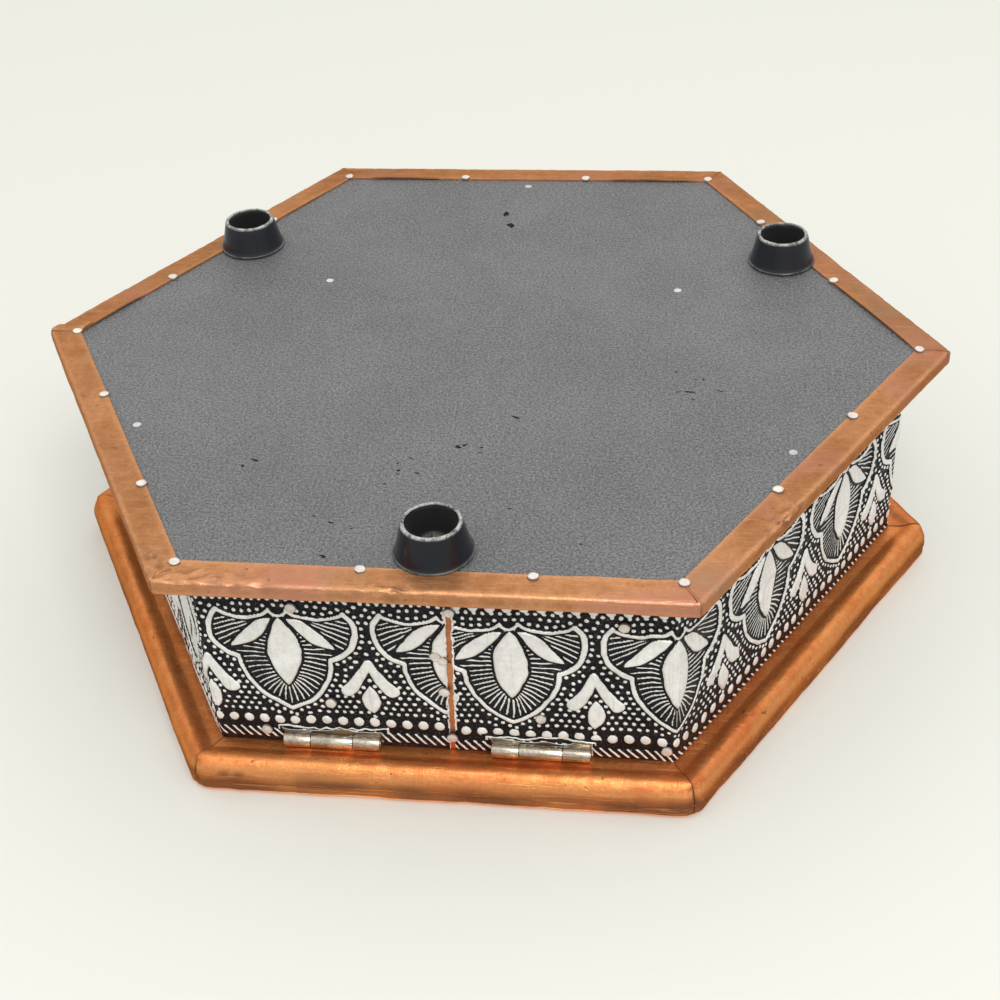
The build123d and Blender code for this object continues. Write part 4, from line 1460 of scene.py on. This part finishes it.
def tack_head(middle, away, seat, random):
    """Points and faces of one head. away points out of the surface and seat is the height of its rim."""
    away = Vector(away)
    side_way = away.orthogonal().normalized()
    other_way = away.cross(side_way)
    tilt_x, tilt_y = random.uniform(-0.07, 0.07, 2)
    wobble = random.uniform(0.90, 1.06, TACK_SEGMENTS)
    points = []
    for share, rise in TACK_RINGS:
        for k in range(TACK_SEGMENTS):
            turn, radius = 2 * math.pi * k / TACK_SEGMENTS, TACK_RADIUS * share * wobble[k]
            a, b = radius * math.cos(turn), radius * math.sin(turn)
            hammered = random.uniform(-0.05, 0.05) if 0.3 < share < 0.8 else 0.0
            up = seat + rise + tilt_x * a + tilt_y * b + hammered
            points.append(tuple(Vector(middle) + side_way * a + other_way * b + away * up))
    return points, tube_faces(len(TACK_RINGS), TACK_SEGMENTS)


def tack_piece(name, node, body, away_of, seat):
    random = np.random.default_rng(len(name))
    heads = []
    for middle in tack_middles(node):
        away = np.array(away_of(middle))
        heads.append(tack_head(middle - away * (middle @ away), away, seat, random))
    stain_and_shade = np.tile(np.repeat(TACK_RIM_SHADE, TACK_SEGMENTS), len(heads))
    make_piece(name, *joined(heads), "tack_metal", body, [node], marks={"stain_and_shade": stain_and_shade}, sharp_deg=60)
    print(name, len(heads), "tacks")


def nearest_side(middle):
    ways = [(math.cos(math.radians(turn)), math.sin(math.radians(turn)), 0.0) for turn in SIDES.values()]
    return max(ways, key=lambda way: middle @ np.array(way))


tack_piece("tack_heads_base", "base_tacks", "box", lambda middle: (0, 0, -1), 0.02 - base_face)
tack_piece("tack_heads_lid", "lid_tacks", "lid", lambda middle: (0, 0, 1), lid_top + 0.02)
tack_piece("tack_heads_wall", "wall_tacks", "box", nearest_side, band_out + 0.22)

# %% [markdown]
# ## Feet and screws
#
# A foot is a short hollow cone of moulded plastic. It is turned like a pot from one profile, with the rim
# round its mouth worn grey and slightly uneven, and a thin flange pressed against the board. The screw that
# holds it sits at the bottom of the bore and has a crossed slot.

# %% Feet turned from one profile
FEET = ("rear", "front_left", "front_right")
FOOT_SEGMENTS = 72
FOOT_UNEVEN = 0.012
# From the screw hole under the board out round the flange, down the cone and up the bore.
FOOT_PROFILE = [
    (1.4, 7.0), (7.65, 7.0), (7.70, 6.86), (7.66, 6.68), (7.52, 6.60), (7.34, 6.56), (7.26, 6.40),
    (7.0, 5.4), (6.7, 4.2), (6.42, 3.0), (6.14, 1.8), (5.86, 0.66), (5.76, 0.26), (5.62, 0.07), (5.46, 0.0),
    (5.24, 0.0), (5.06, 0.10), (4.96, 0.35), (4.66, 1.5), (4.25, 3.1), (3.76, 5.1), (3.5, 5.35), (1.4, 5.4),
]


def foot_middle(side):
    return sum(box_mm(f"foot_{side}")) / 2


def turned(profile, place, seed):
    """Points and faces of a turned shape, a little out of round, from a profile of (radius, level)."""
    turns = np.linspace(0, 2 * math.pi, FOOT_SEGMENTS, endpoint=False)
    radii, levels = profile[:, :1], profile[:, 1:]
    wobble = 1 + FOOT_UNEVEN * smooth_noise(np.cos(turns) * 6 + radii, np.sin(turns)[None] * 6, 3.0, seed)
    x, y = place[0] + radii * np.cos(turns) * wobble, place[1] + radii * np.sin(turns) * wobble
    points = np.stack(np.broadcast_arrays(x, y, levels), axis=-1).reshape(-1, 3)
    return points, [face[::-1] for face in tube_faces(len(profile), FOOT_SEGMENTS)]


for side in FEET:
    middle = foot_middle(side)
    points, faces = turned(even_line(FOOT_PROFILE, 0.5), middle, 40 + SIDES[side])
    radius, level = np.hypot(*(points - middle).T[:2]), points[:, 2].copy()
    worn = step_up(-level, -0.50, -0.12) * step_up(radius, 4.95, 5.1)
    flange = 0.2 * step_up(radius, 7.40, 7.55)
    # Marks the inside of the bore, which the plastic's finish paints darker as painted shade.
    bore = step_up(-radius, -5.0, -4.8) * step_up(level, 0.2, 0.9)
    points[:, 2] += np.where(level < 0.3, 0.10 + 0.08 * smooth_noise(points[:, 0], points[:, 1], 1.1, 50), 0)
    marks = {"rubbed": np.maximum(worn, flange), "inside": bore}
    make_piece(f"turned_foot_{side}", points, faces, "foot_black", "box", [f"foot_{side}"], marks=marks, sharp_deg=50)
    print(f"foot {side} at {middle[0]:.1f}, {middle[1]:.1f}")

# %% [markdown]
# ## Screws
#
# At the bottom of the photograph's nearest bore a small pale shape shows, which is taken for a screw head. It
# is a low dome with a crossed slot. A slot could be cut with a Boolean modifier, but the head is so small that
# pushing down the points that lie in the slot is enough, and leaves one simple closed mesh.

# %% The screws inside the feet
SCREW_RADIUS = 2.75
SCREW_SEAT = 5.4
SCREW_DOME = 1.45
SLOT_HALF, SLOT_REACH, SLOT_DEPTH = 0.34, 0.66, 0.7
SCREW_RINGS, SCREW_SEGMENTS = 14, 48


def screw(middle):
    """A low domed head with a crossed slot, made from rings."""
    points = []
    for r in np.linspace(0.02, 1, SCREW_RINGS):
        for t in np.linspace(0, 2 * math.pi, SCREW_SEGMENTS, endpoint=False):
            a, b = SCREW_RADIUS * r * math.cos(t), SCREW_RADIUS * r * math.sin(t)
            in_slot = min(abs(a), abs(b)) < SLOT_HALF and r < SLOT_REACH
            rise = SCREW_DOME * math.sqrt(max(0, 1 - 0.75 * r * r)) - (SLOT_DEPTH if in_slot else 0)
            points.append((middle[0] + a, middle[1] + b, SCREW_SEAT - rise))
    points += [(x, y, SCREW_SEAT + 0.1) for x, y, _ in points[-SCREW_SEGMENTS:]]
    return points, [face[::-1] for face in tube_faces(SCREW_RINGS + 1, SCREW_SEGMENTS)]


screws = joined(screw(foot_middle(side)) for side in FEET)
make_piece("slotted_screws", *screws, "screw_steel", "box", ["foot_screws"], sharp_deg=35)
print("screws:", len(FEET))

# %% [markdown]
# ## Velvet linings
#
# The inside isn't seen in the photograph. It is lined as such boxes usually are: a velvet floor over card, a
# velvet strip round the walls, and a padded cushion under the lid. The soft pieces swell a little between
# their edges and never lie quite flat.

# %% Cushions
CUSHION_RINGS, CUSHION_PER_SIDE = 30, 18


def cushion(name, node, body, out, back_level, face_level, swell, seed):
    """A hexagonal pad with rounded edges, from rings of points that follow the hexagon."""
    turns = [math.radians(60 * k) for k in range(7)]
    corners = np.array([(math.cos(turn) / COS30, math.sin(turn) / COS30) for turn in turns])
    shares = np.arange(CUSHION_PER_SIDE) / CUSHION_PER_SIDE
    loop = np.array([a * (1 - t) + b * t for a, b in zip(corners, corners[1:]) for t in shares])
    thick, way = abs(face_level - back_level), (1 if face_level > back_level else -1)
    edge = min(1.0, 0.5 * thick)
    rows, heights = [], []
    for share in np.linspace(0.01, 1, CUSHION_RINGS) ** 0.8:
        drop = edge - math.sqrt(max(0.0, edge**2 - max(0.0, edge - out * (1 - share)) ** 2))
        rows.append(loop * out * share)
        heights.append(swell * (1 - share**4) - drop)
    x, y = np.concatenate(rows + [loop * out]).T
    level = np.repeat(heights + [-thick], len(loop))
    free = np.clip((level + thick) / thick, 0, 1)
    level = level + free * hills(x, y, (0.10, 17.0, seed), (0.04, 4.0, seed + 1))
    faces = tube_faces(CUSHION_RINGS + 1, len(loop), flip=True)
    if way < 0:
        faces = [face[::-1] for face in faces]
    points = np.column_stack([x, y, face_level + way * level])
    make_piece(name, points, faces, "velvet", body, [node], sharp_deg=70)
    print(name, f"{thick:.2f} mm thick")


floor_low, floor_high = box_mm("floor_lining")
pad_low, pad_high = box_mm("lid_pad")
cushion("velvet_floor", "floor_lining", "box", floor_high[1], floor_low[2], floor_high[2], 0.35, 61)
cushion("velvet_cushion", "lid_pad", "lid", pad_high[1], pad_high[2], pad_low[2], 0.0, 64)

# %% [markdown]
# ## Wall linings
#
# Velvet glued over card stands out in the middle and is pulled tight at its edges. A cloth simulation would
# need a thickness that a lining of 0.8 mm doesn't have, so a grid of points is pushed out instead, less and
# less towards its edges, and closed with a flat back like the embossed sheet.

# %% Linings of the walls
LINING = 0.8
LINING_GRID = (64, 34)
LINING_LENGTH = 42
lining_low, lining_high = box_mm("wall_lining")
half = wall_back * TAN30 - 0.05
u, up = np.meshgrid(np.linspace(-1, 1, LINING_GRID[0]), np.linspace(0, 1, LINING_GRID[1]), indexing="ij")
near_edge = np.minimum(np.minimum(1 - np.abs(u), 0.08) / 0.08, np.minimum(np.minimum(up, 1 - up), 0.06) / 0.06)
level = lining_low[2] + up * (lining_high[2] - lining_low[2])
for side in SIDES:
    seed = 70 + SIDES[side] // 30
    puff = LINING * (0.55 + 0.45 * rounded(near_edge, 1.0))
    puff = puff + 0.10 * near_edge * smooth_noise(u * half, up * LINING_LENGTH, 13.0, seed)
    front = side_points(side, u * (half - puff * TAN30), wall_back - puff, level).reshape(-1, 3)
    back = side_points(side, u * half, wall_back - BACK_GAP, level).reshape(-1, 3)
    points, faces, _ = closed_shell(front, back, grid_faces(*LINING_GRID).tolist())
    make_piece(f"velvet_wall_{side}", points, faces, "velvet", "box", ["wall_lining"], sharp_deg=70)
print(f"the wall linings are {lining_high[2] - lining_low[2]:.1f} mm high")

# %% [markdown]
# ## Marks in the paint
#
# The black paint under the box is chipped in a few places. Each chip is a tiny ragged patch just proud of the
# board, with a dark finish of its own that doesn't shine.

# %% Chips, each (x, y, length, width, turn in degrees)
CHIPS = [
    (45.6, 18.2, 2.6, 0.6, 3), (43.2, 18.3, 1.3, 0.3, -6), (42.4, 10.6, 0.9, 0.4, 0), (46.7, 13.4, 0.7, 0.3, 20),
    (48.2, 13.2, 0.8, 0.4, -30), (46.3, 21.0, 1.0, 0.4, 8), (51.8, 17.6, 1.8, 0.3, 25), (0.2, 40.6, 1.6, 1.0, 15),
    (1.4, 39.9, 1.1, 0.7, -20), (5.0, 40.6, 0.9, 0.5, 5), (4.9, 42.4, 1.0, 0.3, 0), (10.6, 29.5, 2.2, 0.5, 24),
    (-10.9, 46.9, 0.9, 0.4, -50), (-10.4, 49.3, 1.1, 0.5, 4), (-10.3, 50.6, 0.8, 0.3, 0), (-6.6, 50.0, 1.5, 0.4, 32),
    (-12.4, 53.9, 0.8, 0.5, 10), (-8.6, 45.0, 1.2, 0.3, 30), (-42.0, 49.5, 0.8, 0.7, 0), (-39.9, 47.4, 2.2, 0.5, 28),
    (-20.3, 66.8, 1.3, 0.5, 0), (-24.0, 65.0, 0.9, 0.3, 10), (-16.0, 68.4, 0.8, 0.3, 0), (-19.6, 77.0, 1.5, 0.7, 25),
    (-2.7, -61.4, 1.3, 2.6, 10), (-0.9, -55.2, 1.7, 2.4, -15), (13.0, 60.5, 0.8, 0.4, 0), (27.5, 70.5, 0.7, 0.5, 0),
]
CHIP_CORNERS = 11
random = np.random.default_rng(90)
board_level = box_mm("base_board")[0][2]


def chip(x, y, long, wide, turn_deg):
    """Points and faces of one ragged flat patch."""
    turn, turns = math.radians(turn_deg), 2 * math.pi * np.arange(CHIP_CORNERS) / CHIP_CORNERS
    jog = random.uniform(0.55, 1.25, CHIP_CORNERS)
    a, b = long / 2 * np.cos(turns) * jog, wide / 2 * np.sin(turns) * jog
    px, py = x + a * math.cos(turn) - b * math.sin(turn), y + a * math.sin(turn) + b * math.cos(turn)
    levels = (board_level - 0.03, board_level + 0.05)
    return [(*place, level) for level in levels for place in zip(px, py)], tube_faces(2, CHIP_CORNERS)


chips = make_piece("paint_chips", *joined(chip(*row) for row in CHIPS), "black_board", "box", smooth=False)
chips.data.materials[0] = chipped_paint
print(len(CHIPS), "chips in the paint")

# %% [markdown]
# ## Stage and light
#
# The same box is looked at upside down in the main view and upright in the others, so it has two floors: one
# under the lid for the main view, and one under the feet. Each shows only its front, and from behind it is
# clear, so neither gets in the way of the other view. Far from the box each fades into the plain background,
# so no horizon shows. Only the camera sees the floors: they stop no light, and they aren't mirrored in the
# metal. Just round the lid, an unseen ring does stop the light that would otherwise come up through the floor,
# which gives the lid its dark line where it rests.

# %% The two floors
FLOOR_HALF = 3.0
FLOOR_GAP = 0.0002
FADE_FROM, FADE_TO = 0.42, 0.66
FLOOR_COLOUR = (0.735, 0.74, 0.69)


def stage_object(name, points, faces):
    mesh = bpy.data.meshes.new(name)
    mesh.from_pydata(points, [], faces)
    material, tree = new_material(name)
    mesh.materials.append(material)
    thing = add_object(name, mesh)
    return thing, tree


def one_sided_floor(name, level, faces_down):
    corners = [(x * FLOOR_HALF, y * FLOOR_HALF, level) for x, y in ((-1, -1), (1, -1), (1, 1), (-1, 1))]
    floor, tree = stage_object(name, corners, [(3, 2, 1, 0) if faces_down else (0, 1, 2, 3)])
    floor.visible_shadow = floor.visible_diffuse = floor.visible_glossy = False
    tree.nodes.clear()
    away = add(tree, "ShaderNodeVectorMath", {"operation": "LENGTH"}, output="Value", _0=own_places(tree))
    fade = add(tree, "ShaderNodeMapRange", {"interpolation_type": "SMOOTHSTEP"}, _0=away, _1=FADE_FROM, _2=FADE_TO)
    hidden = add(tree, "ShaderNodeNewGeometry", output="Backfacing").or_more(fade)
    plain = add(tree, "ShaderNodeBsdfDiffuse", Color=FLOOR_COLOUR)
    mixed = add(tree, "ShaderNodeMixShader", _0=hidden, _1=plain, _2=add(tree, "ShaderNodeBsdfTransparent"))
    add(tree, "ShaderNodeOutputMaterial", Surface=mixed)


one_sided_floor("floor_under_lid", cad_high.z + FLOOR_GAP, faces_down=True)
one_sided_floor("floor_under_feet", cad_low.z - FLOOR_GAP, faces_down=False)
print(f"floors at {cad_low.z:.4f} and {cad_high.z:.4f} m")

# %% The ring that shades the floor round the lid
RING_WIDTH = 0.012

points = []
for out in (lid_out * MM, lid_out * MM + RING_WIDTH):
    for turn in SIDES.values():
        corner = math.radians(turn + 30)
        place = (out / COS30 * math.cos(corner), out / COS30 * math.sin(corner), cad_high.z + 1.5 * FLOOR_GAP)
        points.append(place)
ring, tree = stage_object("shade_ring", points, [[k, (k + 1) % 6, 6 + (k + 1) % 6, 6 + k] for k in range(6)])
ring.visible_camera = False
feed(tree, tree.nodes["Principled BSDF"], {"Base_Color": FLOOR_COLOUR})
print(f"the ring is {RING_WIDTH / MM:.0f} mm wide")

# %% [markdown]
# ## Light
#
# Metal looks like what it mirrors. Two large square lamps give soft highlights, one below the box for the
# upside-down view and one above it for the others, and the surroundings are bright with a darker band, which
# draws the dark lines along the rolls. The camera itself sees a plain warm grey instead of those surroundings.

# %% Lamps and surroundings
LAMP_SIZE, LAMP_POWER = 0.6, 6.6
DARK_BAND = 0.2


def soft_lamp(name, place):
    lamp = add_object(name, bpy.data.lights.new(name, "AREA"))
    lamp.data.shape = "SQUARE"
    lamp.data.size = LAMP_SIZE
    lamp.data.energy = LAMP_POWER
    lamp.location = place
    lamp.rotation_mode = "QUATERNION"
    lamp.rotation_quaternion = (-Vector(place)).to_track_quat("-Z", "Y")


soft_lamp("lamp_below", (0.30, 0.75, -0.95))
soft_lamp("lamp_above", (-0.10, -0.25, 1.25))

world = bpy.data.worlds.new("studio")
bpy.context.scene.world = world
world.use_nodes = True
tree = world.node_tree
tree.nodes.clear()
direction = add(tree, "ShaderNodeTexCoord", output="Generated")
upward = add(tree, "ShaderNodeSeparateXYZ", output="Z", Vector=direction)
glow = (upward - DARK_BAND).math("ABSOLUTE").between(0.0, 0.8, 0.45, 1.05)
seen = add(tree, "ShaderNodeLightPath", output="Is Camera Ray")
light = add(tree, "ShaderNodeBackground", Color=(1.0, 0.99, 0.97), Strength=glow)
plain_back = add(tree, "ShaderNodeBackground", Color=(0.86, 0.85, 0.81), Strength=1.0)
add(tree, "ShaderNodeOutputWorld", Surface=add(tree, "ShaderNodeMixShader", _0=seen, _1=light, _2=plain_back))
print(f"two lamps of {LAMP_POWER} W")
